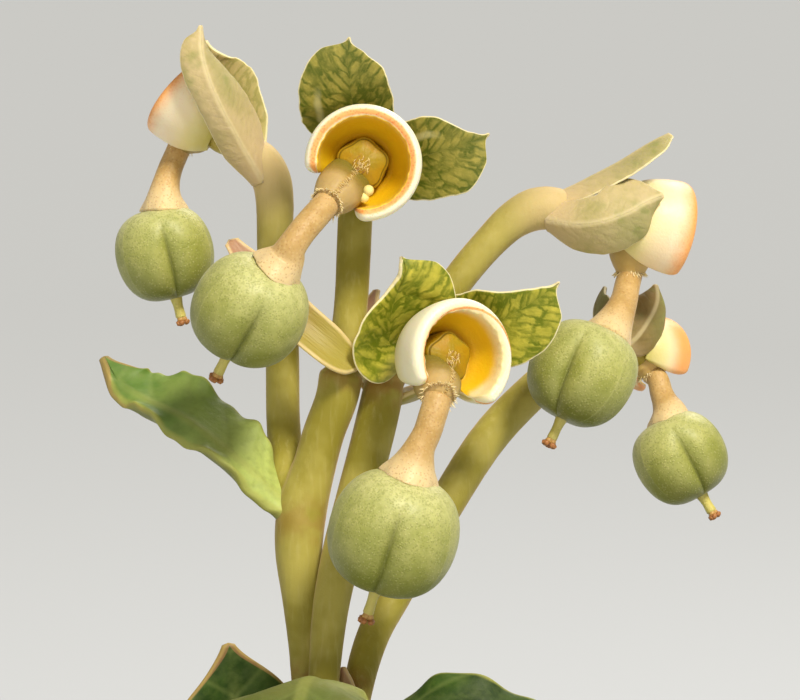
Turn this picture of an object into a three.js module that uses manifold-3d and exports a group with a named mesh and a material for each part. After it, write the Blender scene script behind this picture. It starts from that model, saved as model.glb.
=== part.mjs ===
// Potted Euphorbia pseudoracemosa: a plain clay pot, soil, a fleshy stem with crisped leaves,
// and three flower stalks that carry five cyathia, each with two bracts, a horseshoe gland,
// an involucre, and a bent pedicel with a three-lobed green capsule.
// Millimetres, +Z up. The origin is the middle of the pot's base. -Y is the front.

import * as THREE from 'three';
import { mergeVertices } from 'three/addons/utils/BufferGeometryUtils.js';
import Module from 'manifold-3d';

const wasm = await Module();
wasm.setup();

// Pot
const POT_HEIGHT = 70;
const POT_TOP_RADIUS = 44;
const POT_COLLAR_HEIGHT = 17;
const POT_COLLAR_STEP = 2.6;
const POT_BASE_RADIUS = 29;
const POT_WALL = 4;
const POT_FLOOR = 5;
const POT_LIP_ROUND = 1.2;
const POT_BODY_ROUND = 1;
const POT_INNER_STEP = 1.5;
const DRAIN_COUNT = 4;
const DRAIN_RADIUS = 3.5;
const DRAIN_RING_RADIUS = 15;
const POT_SIDES = 30;
const DRAIN_SIDES = 10;

// Soil
const SOIL_TOP = 62;
const SOIL_GAP = 0.3;
const SOIL_CROWN = 1.4;
const SOIL_BUMP = 0.35;
const SOIL_RINGS = 4;

// Building solids
const FULL_TURN = 360;
const SEAT_GAP = 0.14;
const CUT_TOLERANCE = 0.02;
const WELD = 1e-4;
const CAP_RATIO = 0.45;
const NEARLY_UPRIGHT = 0.9;
const USUAL_SLIP = 1.3;

// Main stem, with its heights measured down from the crown, where the flower stalks start
const CROWN_HEIGHT = 137;
const STEM_SIDES = 14;
const STEM_STEPS = 16;
const SOCKET_RADIUS = 1.55;
const SOCKET_SIDES = 6;

// Plant pieces
const STALK_SIDES = 10;
const PEDICEL_SIDES = 8;
const PEDICEL_STEPS = 6;
const LEAF_THICKNESS = 0.8;
const FORK_LEAF_STATIONS = 12;
const BRACT_THICKNESS = 0.62;
const BRACT_STATIONS = 7;
const SMALL_BRACT_STATIONS = 5;
const BRACT_COLUMNS = 4;
const GLAND_STEPS = 12;
const HORN_LENGTH = 10;
const HORN_SHOULDER = 7;
const HORN_FULLNESS = 0.6;
const CAPSULE_SIDES = 18;
const CAPSULE_RINGS = 8;

const group = new THREE.Group();
const vec = (p) => new THREE.Vector3(p[0], p[1], p[2]);
const degrees = (a) => (a * Math.PI) / 180;

// Materials
const clay = new THREE.MeshStandardMaterial({ color: 0xb5653f, roughness: 0.85, metalness: 0 });
const earth = new THREE.MeshStandardMaterial({ color: 0x4a3a2c, roughness: 1, metalness: 0 });
const bark = new THREE.MeshStandardMaterial({ color: 0x8d8a5c, roughness: 0.7, metalness: 0 });
const stalkGreen = new THREE.MeshStandardMaterial({ color: 0xa9a35a, roughness: 0.5, metalness: 0 });
const leafGreen = new THREE.MeshStandardMaterial({ color: 0x3f6b2d, roughness: 0.45, metalness: 0 });
const bractGreen = new THREE.MeshStandardMaterial({ color: 0x9da363, roughness: 0.5, metalness: 0 });
const bractYellow = new THREE.MeshStandardMaterial({ color: 0xc2b566, roughness: 0.5, metalness: 0 });
const cream = new THREE.MeshStandardMaterial({ color: 0xf6dfa6, roughness: 0.4, metalness: 0 });
const involucreYellow = new THREE.MeshStandardMaterial({ color: 0xc3b75c, roughness: 0.5, metalness: 0 });
const tan = new THREE.MeshStandardMaterial({ color: 0xd3b681, roughness: 0.5, metalness: 0 });
const capsuleGreen = new THREE.MeshStandardMaterial({ color: 0xa9b873, roughness: 0.45, metalness: 0 });

// Smooth interpolation through values that stand at equal steps from 0 to 1
function valueAt(values, t) {
  const last = values.length - 1;
  const place = Math.min(Math.max(t, 0), 1) * last;
  const index = Math.min(Math.floor(place), last - 1);
  const local = place - index;
  const before = values[Math.max(index - 1, 0)];
  const here = values[index];
  const next = values[index + 1];
  const after = values[Math.min(index + 2, last)];
  const square = local * local;
  const cube = square * local;
  const sum = 2 * here + (next - before) * local
    + (2 * before - 5 * here + 4 * next - after) * square
    + (3 * here - before - 3 * next + after) * cube;
  return Math.max(sum / 2, Math.min(here, next));
}

// A closed geometry from rings of equal length, with a pole at each end
function loft(rings, startPole, endPole) {
  const count = rings[0].length;
  const positions = [];
  const faces = [];
  for (const ring of rings) {
    for (const point of ring) positions.push(point.x, point.y, point.z);
  }
  positions.push(startPole.x, startPole.y, startPole.z);
  positions.push(endPole.x, endPole.y, endPole.z);
  const start = rings.length * count;
  const end = start + 1;
  for (let r = 0; r < rings.length - 1; r += 1) {
    for (let i = 0; i < count; i += 1) {
      const a = r * count + i;
      const b = r * count + ((i + 1) % count);
      faces.push(a, b, b + count, a, b + count, a + count);
    }
  }
  const lastRing = (rings.length - 1) * count;
  for (let i = 0; i < count; i += 1) {
    const next = (i + 1) % count;
    faces.push(start, next, i);
    faces.push(end, lastRing + i, lastRing + next);
  }
  return closedGeometry(positions, faces);
}

function closedGeometry(positions, faces) {
  const geometry = new THREE.BufferGeometry();
  geometry.setAttribute('position', new THREE.Float32BufferAttribute(positions, 3));
  geometry.setIndex(faces);
  return geometry;
}

// A closed geometry as a solid that can be joined and cut
function solid(geometry) {
  const bare = geometry.clone();
  bare.deleteAttribute('normal');
  bare.deleteAttribute('uv');
  const merged = mergeVertices(bare, WELD);
  const made = new wasm.Manifold(new wasm.Mesh({
    numProp: 3,
    vertProperties: new Float32Array(merged.attributes.position.array),
    triVerts: new Uint32Array(merged.index.array),
  }));
  if (made.volume() > 0) return made;
  throw new Error('a piece is inside out');
}

// The largest body of a cut solid, so that no loose scrap is kept
function largest(cut) {
  const bodies = cut.decompose();
  bodies.sort((a, b) => b.volume() - a.volume());
  return bodies[0];
}

function cutAway(piece, ...others) {
  let result = piece;
  for (const other of others) result = result.subtract(other);
  return largest(result);
}

function joined(pieces) {
  return pieces.reduce((sum, piece) => sum.add(piece));
}

function addMesh(name, piece, material) {
  const { numProp, vertProperties, triVerts } = piece.simplify(CUT_TOLERANCE).getMesh();
  const positions = [];
  for (let i = 0; i < vertProperties.length; i += numProp) {
    positions.push(vertProperties[i], vertProperties[i + 1], vertProperties[i + 2]);
  }
  const mesh = new THREE.Mesh(closedGeometry(positions, Array.from(triVerts)), material);
  mesh.geometry.computeVertexNormals();
  mesh.name = name;
  group.add(mesh);
}

// A round stem along a smooth curve through points [x, y, z, radius]
function tube(points, sides, steps, grow = 0) {
  const curve = new THREE.CatmullRomCurve3(points.map(vec), false, 'centripetal');
  const radii = points.map((p) => p[3]);
  const rings = [];
  let normal = null;
  for (let s = 0; s <= steps; s += 1) {
    const t = s / steps;
    const centre = curve.getPoint(t);
    const tangent = curve.getTangent(t).normalize();
    if (normal === null) {
      const upright = Math.abs(tangent.z) > NEARLY_UPRIGHT;
      const helper = upright ? new THREE.Vector3(0, 1, 0) : new THREE.Vector3(0, 0, 1);
      normal = helper.cross(tangent).normalize();
    }
    normal = normal.clone().addScaledVector(tangent, -normal.dot(tangent)).normalize();
    const side = tangent.clone().cross(normal);
    const radius = valueAt(radii, t) + grow;
    const ring = [];
    for (let i = 0; i < sides; i += 1) {
      const angle = (i / sides) * Math.PI * 2;
      const point = centre.clone();
      point.addScaledVector(normal, radius * Math.cos(angle));
      point.addScaledVector(side, radius * Math.sin(angle));
      ring.push(point);
    }
    rings.push(ring);
  }
  const startCap = radii[0] * CAP_RATIO + grow;
  const endCap = radii[radii.length - 1] * CAP_RATIO + grow;
  const startPole = curve.getPoint(0).addScaledVector(curve.getTangent(0), -startCap);
  const endPole = curve.getPoint(1).addScaledVector(curve.getTangent(1), endCap);
  return solid(loft(rings, startPole, endPole));
}

// The middle surface of a leaf or bract: a grid of points along its midrib and across it.
// face is the way that the upper side looks, cup lifts both margins and fold makes a keel.
function bladeGrid(shape, stations, columns, grow) {
  const curve = new THREE.CatmullRomCurve3(shape.spine.map(vec), false, 'centripetal');
  const face = vec(shape.face).normalize();
  const turn = degrees(shape.turn ?? 0);
  const rows = [];
  for (let s = 0; s <= stations; s += 1) {
    const t = s / stations;
    const centre = curve.getPoint(t);
    const tangent = curve.getTangent(t).normalize();
    const up = face.clone().applyAxisAngle(tangent, turn * t);
    up.addScaledVector(tangent, -up.dot(tangent)).normalize();
    const side = tangent.clone().cross(up);
    if (s === 0) centre.addScaledVector(tangent, -grow);
    if (s === stations) centre.addScaledVector(tangent, grow);
    const row = [];
    for (let c = 0; c <= columns; c += 1) {
      const u = (c / columns) * 2 - 1;
      const reach = Math.abs(u);
      const half = valueAt(u < 0 ? shape.left : shape.right, t) + grow;
      const phase = shape.waves * t * Math.PI * 2 + (u < 0 ? 0 : shape.slip ?? USUAL_SLIP);
      const ripple = Math.sin(phase) * (shape.wave ?? 0) * reach * reach * Math.sin(Math.PI * t);
      const lift = (shape.cup ?? 0) * half * reach * reach + (shape.fold ?? 0) * half * reach;
      const point = centre.clone().addScaledVector(side, u * half);
      row.push(point.addScaledVector(up, lift + ripple));
    }
    rows.push(row);
  }
  return rows;
}

// A leaf or bract as a closed blade, cut into triangles alike on both faces
function blade(shape, thickness, stations, columns, grow = 0) {
  const rows = bladeGrid({ waves: 0, ...shape }, stations, columns, grow);
  const width = columns + 1;
  const upper = [];
  const lower = [];
  for (let s = 0; s <= stations; s += 1) {
    for (let c = 0; c <= columns; c += 1) {
      const along = rows[Math.min(s + 1, stations)][c].clone().sub(rows[Math.max(s - 1, 0)][c]);
      const across = rows[s][Math.min(c + 1, columns)].clone().sub(rows[s][Math.max(c - 1, 0)]);
      const normal = across.cross(along).normalize();
      const half = thickness / 2 + grow;
      const above = rows[s][c].clone().addScaledVector(normal, half);
      const below = rows[s][c].clone().addScaledVector(normal, -half);
      upper.push(above.x, above.y, above.z);
      lower.push(below.x, below.y, below.z);
    }
  }
  const faces = [];
  const under = (stations + 1) * width;
  for (let s = 0; s < stations; s += 1) {
    for (let c = 0; c < columns; c += 1) {
      const a = s * width + c;
      const b = a + 1;
      const d = a + width;
      const e = d + 1;
      faces.push(a, b, e, a, e, d);
      faces.push(under + a, under + e, under + b, under + a, under + d, under + e);
    }
  }
  const rim = [];
  for (let c = 0; c < columns; c += 1) rim.push(c);
  for (let s = 0; s < stations; s += 1) rim.push(s * width + columns);
  for (let c = columns; c > 0; c -= 1) rim.push(stations * width + c);
  for (let s = stations; s > 0; s -= 1) rim.push(s * width);
  rim.forEach((a, i) => {
    const b = rim[(i + 1) % rim.length];
    faces.push(b, a, under + a, b, under + a, under + b);
  });
  return solid(closedGeometry([...upper, ...lower], faces));
}

// Pot, turned from one closed profile, with drain holes round the middle of its floor
function pot() {
  const top = POT_TOP_RADIUS;
  const collarFoot = POT_HEIGHT - POT_COLLAR_HEIGHT;
  const bodyTop = top - POT_COLLAR_STEP;
  const innerTop = top - POT_WALL;
  const innerFloor = POT_BASE_RADIUS - POT_WALL + POT_BODY_ROUND;
  const profile = [
    [0, 0],
    [POT_BASE_RADIUS - POT_LIP_ROUND, 0],
    [POT_BASE_RADIUS, POT_LIP_ROUND],
    [bodyTop - POT_BODY_ROUND, collarFoot - POT_LIP_ROUND],
    [top - POT_BODY_ROUND, collarFoot],
    [top, collarFoot + POT_LIP_ROUND],
    [top, POT_HEIGHT - POT_LIP_ROUND],
    [top - POT_LIP_ROUND, POT_HEIGHT],
    [innerTop + POT_LIP_ROUND, POT_HEIGHT],
    [innerTop, POT_HEIGHT - POT_LIP_ROUND],
    [innerTop - POT_INNER_STEP, collarFoot],
    [innerFloor, POT_FLOOR],
    [0, POT_FLOOR],
  ];
  const points = profile.map(([r, z]) => new THREE.Vector2(r, z));
  const turned = new THREE.LatheGeometry(points, POT_SIDES);
  turned.rotateX(Math.PI / 2);
  let body = solid(turned);
  for (let i = 0; i < DRAIN_COUNT; i += 1) {
    const angle = ((i + 0.5) / DRAIN_COUNT) * Math.PI * 2;
    const hole = new THREE.CylinderGeometry(DRAIN_RADIUS, DRAIN_RADIUS, POT_FLOOR * 3, DRAIN_SIDES);
    hole.rotateX(Math.PI / 2);
    hole.translate(DRAIN_RING_RADIUS * Math.cos(angle), DRAIN_RING_RADIUS * Math.sin(angle), 0);
    body = body.subtract(solid(hole));
  }
  return body;
}

// Radius of the pot's inside at a height, less the gap to the soil
function soilRadius(z) {
  const collarFoot = POT_HEIGHT - POT_COLLAR_HEIGHT;
  const wallTop = POT_TOP_RADIUS - POT_WALL - POT_INNER_STEP;
  const wallFoot = POT_BASE_RADIUS - POT_WALL + POT_BODY_ROUND;
  if (z >= collarFoot) {
    const share = (z - collarFoot) / (POT_COLLAR_HEIGHT - POT_LIP_ROUND);
    return wallTop + POT_INNER_STEP * share - SOIL_GAP;
  }
  return wallFoot + ((wallTop - wallFoot) * (z - POT_FLOOR)) / (collarFoot - POT_FLOOR) - SOIL_GAP;
}

// Soil, with a slightly crowned and uneven top
function soil() {
  const edge = soilRadius(SOIL_TOP);
  const foot = POT_FLOOR + SOIL_GAP;
  const collarFoot = POT_HEIGHT - POT_COLLAR_HEIGHT;
  const points = [new THREE.Vector2(0, foot), new THREE.Vector2(soilRadius(foot), foot)];
  points.push(new THREE.Vector2(soilRadius(collarFoot), collarFoot));
  for (let i = SOIL_RINGS; i >= 0; i -= 1) {
    const share = i / SOIL_RINGS;
    points.push(new THREE.Vector2(edge * share, SOIL_TOP + SOIL_CROWN * (1 - share * share)));
  }
  const turned = new THREE.LatheGeometry(points, POT_SIDES);
  turned.rotateX(Math.PI / 2);
  const place = turned.attributes.position;
  for (let i = 0; i < place.count; i += 1) {
    const x = place.getX(i);
    const y = place.getY(i);
    const z = place.getZ(i);
    const inside = Math.hypot(x, y) < edge - 1;
    const bump = SOIL_BUMP * Math.sin(x * 0.9 + 1) * Math.cos(y * 0.8 - 0.4);
    if (z >= SOIL_TOP && inside) place.setZ(i, z + bump);
  }
  return solid(turned);
}

// Plant pieces are placed from the crown, where the flower stalks leave the main stem.
const raise = (p) => [p[0], p[1], p[2] + CROWN_HEIGHT, ...p.slice(3)];
const raised = (shape) => ({ ...shape, spine: shape.spine.map(raise) });

// Main stem, thick at the soil, with its root in the soil: x, y, height, radius
const MAIN_STEM = [
  [0.2, 0.0, -1.6, 2.2],
  [0.1, 0.0, -4.0, 3.6],
  [0.0, 0.0, -10.0, 4.6],
  [0.0, 0.0, -20.0, 5.0],
  [0.0, 0.0, -34.0, 5.4],
  [0.0, 0.0, -48.0, 6.1],
  [0.0, 0.0, -59.0, 7.6],
  [0.0, 0.0, -68.0, 10.2],
  [0.0, 0.0, -76.0, 12.2],
  [0.0, 0.0, -84.0, 11.4],
  [0.0, 0.0, -94.0, 7.6],
  [0.0, 0.0, -104.0, 3.8],
  [0.0, 0.0, -112.0, 1.6],
];

// Flower stalks: x, y, height, radius. The left one forks to heads 1 and 2, the middle one to
// heads 3 and 4, and the right one bears head 5.
const STALK_LEFT = [
  [-1.2, 0.9, -3.4, 0.80],
  [-1.3, 1.0, -1.2, 0.80],
  [-1.5, 1.0, 0.6, 0.86],
  [-1.6, 1.1, 3.1, 0.97],
  [-1.8, 1.4, 5.6, 1.10],
  [-2.0, 1.8, 8.4, 1.31],
  [-1.8, 2.1, 10.5, 1.37],
  [-1.2, 2.4, 12.6, 1.20],
  [-0.6, 2.5, 14.7, 1.15],
  [0.1, 2.5, 16.6, 1.17],
  [0.4, 2.6, 18.3, 1.22],
];
const STALK_HEAD_1 = [
  [-1.9, 2.2, 9.7, 0.90],
  [-2.4, 3.0, 11.3, 0.98],
  [-2.7, 4.0, 12.9, 0.96],
  [-2.9, 5.1, 14.9, 0.94],
  [-3.0, 6.7, 19.2, 0.94],
  [-3.4, 7.6, 23.5, 0.97],
  [-3.4, 8.0, 26.8, 1.06],
  [-3.6, 8.0, 28.0, 1.10],
  [-4.2, 7.9, 29.0, 1.10],
  [-5.1, 7.7, 29.6, 0.95],
];
const STALK_HEAD_2 = [
  [0.4, 2.5, 18.0, 1.05],
  [0.7, 2.8, 20.0, 0.95],
  [0.9, 3.3, 22.1, 0.93],
  [1.0, 3.9, 24.2, 0.95],
  [1.1, 4.7, 26.4, 0.96],
  [1.2, 5.4, 27.8, 0.99],
  [1.2, 5.6, 28.6, 1.00],
  [1.3, 5.1, 29.0, 0.95],
];
const STALK_MIDDLE = [
  [-0.4, -0.9, -3.2, 0.80],
  [-0.5, -1.3, -0.7, 0.80],
  [-0.6, -1.0, 1.0, 0.84],
  [-0.5, -0.7, 2.9, 0.90],
  [-0.2, -0.2, 5.6, 1.00],
  [0.4, 0.8, 8.4, 1.09],
  [1.2, 1.8, 11.3, 1.12],
  [1.9, 2.5, 13.8, 1.15],
  [2.4, 3.2, 15.8, 1.15],
  [2.7, 3.7, 17.2, 1.12],
];
const STALK_HEAD_3 = [
  [2.6, 3.5, 16.6, 1.05],
  [2.8, 3.9, 17.6, 1.05],
  [3.2, 3.7, 18.3, 1.00],
  [3.7, 3.0, 18.5, 0.95],
];
const STALK_HEAD_4 = [
  [2.6, 3.8, 16.7, 0.95],
  [3.3, 5.2, 18.0, 0.91],
  [4.6, 6.8, 19.7, 0.89],
  [6.0, 8.0, 21.3, 0.89],
  [7.3, 9.1, 22.9, 0.92],
  [8.6, 9.8, 24.3, 0.95],
  [9.8, 10.2, 25.4, 1.06],
  [11.0, 10.5, 26.0, 1.20],
  [12.0, 10.6, 26.1, 1.20],
  [12.9, 10.8, 26.1, 1.00],
];
const STALK_RIGHT = [
  [0.5, 0.4, -3.4, 0.80],
  [0.9, 0.5, -1.0, 0.80],
  [1.2, 0.9, 0.5, 0.82],
  [1.6, 1.9, 2.1, 0.88],
  [2.2, 3.0, 3.6, 0.92],
  [3.1, 4.0, 5.1, 0.96],
  [5.8, 7.0, 9.4, 1.02],
  [8.5, 9.7, 13.2, 1.06],
  [10.8, 11.3, 15.4, 1.04],
  [12.8, 12.5, 16.9, 1.01],
  [14.5, 13.0, 17.7, 1.02],
  [15.6, 12.7, 17.9, 1.00],
];

function stalks(grow = 0) {
  const stem = (points, steps) => tube(points.map(raise), STALK_SIDES, steps, grow);
  return {
    stalks_left: joined([stem(STALK_LEFT, 9), stem(STALK_HEAD_1, 11), stem(STALK_HEAD_2, 8)]),
    stalks_middle: joined([stem(STALK_MIDDLE, 8), stem(STALK_HEAD_3, 4), stem(STALK_HEAD_4, 11)]),
    stalk_right: stem(STALK_RIGHT, 11),
  };
}

// Foliage leaves: obovate, with crisped margins, in a spiral down the main stem
const LEAF_COUNT = 8;
const LEAF_TURN = 137.5;
const LEAF_FIRST_TURN = 60;
const LEAF_FIRST_HEIGHT = -17.5;
const LEAF_PITCH = 4.0;
const LEAF_FIRST_LENGTH = 43;
const LEAF_GAIN = 2.4;
const LEAF_LOSS = 0.25;
const LEAF_FIRST_HALF = 8.6;
const LEAF_HALF_GAIN = 0.35;
const LEAF_ROOT = 2;
const LEAF_OUTLINE = [0.09, 0.11, 0.26, 0.54, 0.82, 0.98, 1.0, 0.86, 0.52, 0.04];
const LEAF_STATIONS = 14;
const LEAF_COLUMNS = 4;
const LEAF_ARCH = [[0, 0], [0.16, 0.08], [0.4, 0.16], [0.66, 0.15], [0.86, 0.07], [1, -0.04]];

function stemRadius(height) {
  for (let i = 1; i < MAIN_STEM.length; i += 1) {
    const above = MAIN_STEM[i - 1];
    const below = MAIN_STEM[i];
    if (height >= below[2]) {
      const share = (above[2] - height) / (above[2] - below[2]);
      return above[3] + (below[3] - above[3]) * share;
    }
  }
  return 0;
}

function spiralLeaf(index) {
  const height = LEAF_FIRST_HEIGHT - LEAF_PITCH * index;
  const angle = degrees(LEAF_FIRST_TURN + LEAF_TURN * index);
  const length = LEAF_FIRST_LENGTH + LEAF_GAIN * index - LEAF_LOSS * index * index;
  const half = LEAF_FIRST_HALF + LEAF_HALF_GAIN * index;
  const start = stemRadius(height) - LEAF_ROOT;
  const out = [Math.cos(angle), Math.sin(angle)];
  const spine = LEAF_ARCH.map(([reach, rise]) => {
    const radius = start + reach * length;
    return [out[0] * radius, out[1] * radius, height + rise * length];
  });
  const outline = LEAF_OUTLINE.map((share) => share * half);
  return {
    spine, left: outline, right: outline, face: [-out[0] * 0.3, -out[1] * 0.3, 1],
    cup: 0.1, fold: 0.14, wave: 1.3, waves: 5, slip: 1.7 + index,
  };
}

// The three topmost leaves, which stand round the foot of the flower stalks
const TOP_LEAVES = {
  leaf_top_right: {
    spine: [[1.6, -0.9, -5.0], [3.0, -1.6, -1.2], [5.0, -2.5, -0.1], [8.4, -3.8, -1.2],
      [12.4, -5.5, -4.6], [18, -7.9, -9.8], [24, -10.6, -15.5], [28.5, -12.5, -21]],
    left: [0.8, 1.2, 2.6, 3.6, 4.8, 6.6, 6.7, 5.0, 0.3],
    right: [0.8, 1.2, 2.6, 3.6, 4.8, 6.6, 6.7, 5.0, 0.3],
    face: [0, -0.35, 0.9], cup: 0.12, fold: 0.12, wave: 0.45, waves: 4, slip: 2.4,
  },
  leaf_top_left: {
    spine: [[-3.5, 1.4, -19.5], [-5.6, 2.2, -17], [-7.2, 2.9, -12], [-6.9, 3.0, -6.5],
      [-5.7, 2.8, -1], [-5.9, 2.3, 3.0]],
    left: [0.9, 1.2, 2.6, 3.9, 4.1, 3.0, 0.3],
    right: [0.9, 1.2, 2.4, 3.5, 3.8, 3.3, 0.3],
    face: [0.3, -1, 0.25], cup: 0.1, fold: 0.1, wave: 0.4, waves: 3, slip: 0.6,
  },
  leaf_top_front: {
    spine: [[-0.4, -1.4, -5.0], [-0.9, -2.9, -0.6], [-1.2, -4.6, 2.0], [-1.6, -7.2, 2.0],
      [-2.4, -12.5, -1.6], [-3.5, -19.5, -8.2], [-4.4, -25.5, -15.5]],
    left: [0.9, 1.3, 2.2, 3.2, 5.6, 7.2, 6.8, 4.6, 0.3],
    right: [0.9, 1.3, 2.2, 3.2, 5.6, 7.2, 6.8, 4.6, 0.3],
    face: [0, 0.2, 1], cup: -0.3, fold: 0.0, wave: 0.6, waves: 4, slip: 1.1,
  },
};

// The leaf under the left stalk's first fork, with its tip curled up
const FORK_LEAF = {
  spine: [[-2.2, 2.2, 9.8], [-3.4, 2.0, 11.0], [-5.6, 1.8, 13.1], [-8.0, 2.7, 14.9],
    [-10.4, 4.0, 15.9], [-12.4, 5.0, 17.0], [-12.6, 6.2, 18.4]],
  left: [0.7, 0.8, 0.9, 1.1, 1.3, 1.5, 1.5, 1.1, 0.3],
  right: [0.8, 1.2, 2.1, 2.8, 3.0, 2.9, 2.5, 1.7, 0.3],
  face: [0.25, -0.55, 0.8], cup: 0.12, fold: 0.1, wave: 0.5, waves: 3.5, slip: 0.9,
};

// Small bracts at the forks of the stalks, and the scale between two stalks at the crown
const SMALL_BRACTS = {
  fork_bract_left_a: {
    spine: [[0.5, 1.0, 17.8], [0.2, 0.9, 18.6], [-0.7, 0.9, 19.6], [-2.2, 1.3, 21.1],
      [-4.0, 2.1, 23.0], [-5.8, 3.1, 25.2]],
    left: [0.8, 1.1, 1.2, 1.2, 1.15, 1.0, 0.4],
    right: [0.8, 1.1, 1.15, 1.2, 1.15, 1.0, 0.4],
    face: [0.4, -0.9, 0.3], cup: 0.3, fold: 0.1,
  },
  fork_bract_left_b: {
    spine: [[0.5, 3.0, 17.6], [1.0, 4.3, 18.4], [1.5, 6.0, 19.9], [2.3, 7.6, 21.9]],
    left: [0.6, 1.2, 1.4, 1.0, 0.2],
    right: [0.6, 1.2, 1.4, 1.0, 0.2],
    face: [-0.5, -0.5, 0.7], cup: 0.3, fold: 0.1,
  },
  fork_bract_middle_a: {
    spine: [[2.9, 3.9, 16.1], [3.8, 4.7, 16.2], [4.8, 6.0, 16.4], [6.0, 8.0, 17.2]],
    left: [0.5, 1.0, 1.2, 0.9, 0.2],
    right: [0.5, 1.0, 1.2, 0.9, 0.2],
    face: [-0.3, 0, 1], cup: 0.3, fold: 0.1,
  },
  fork_bract_middle_b: {
    spine: [[2.3, 4.4, 16.2], [2.0, 5.8, 17.2], [1.9, 7.9, 18.8], [2.1, 10.0, 20.6]],
    left: [0.5, 1.0, 1.2, 0.9, 0.2],
    right: [0.5, 1.0, 1.2, 0.9, 0.2],
    face: [0.2, -0.6, 0.8], cup: 0.3, fold: 0.1,
  },
  crown_scale: {
    spine: [[0.6, -1.1, -1.8], [0.7, -0.9, 0.2], [0.6, -0.6, 1.2], [0.4, -0.3, 2.2]],
    left: [0.6, 0.6, 0.5, 0.2],
    right: [0.6, 0.6, 0.5, 0.2],
    face: [0.3, 1, 0.1],
  },
};

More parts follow.
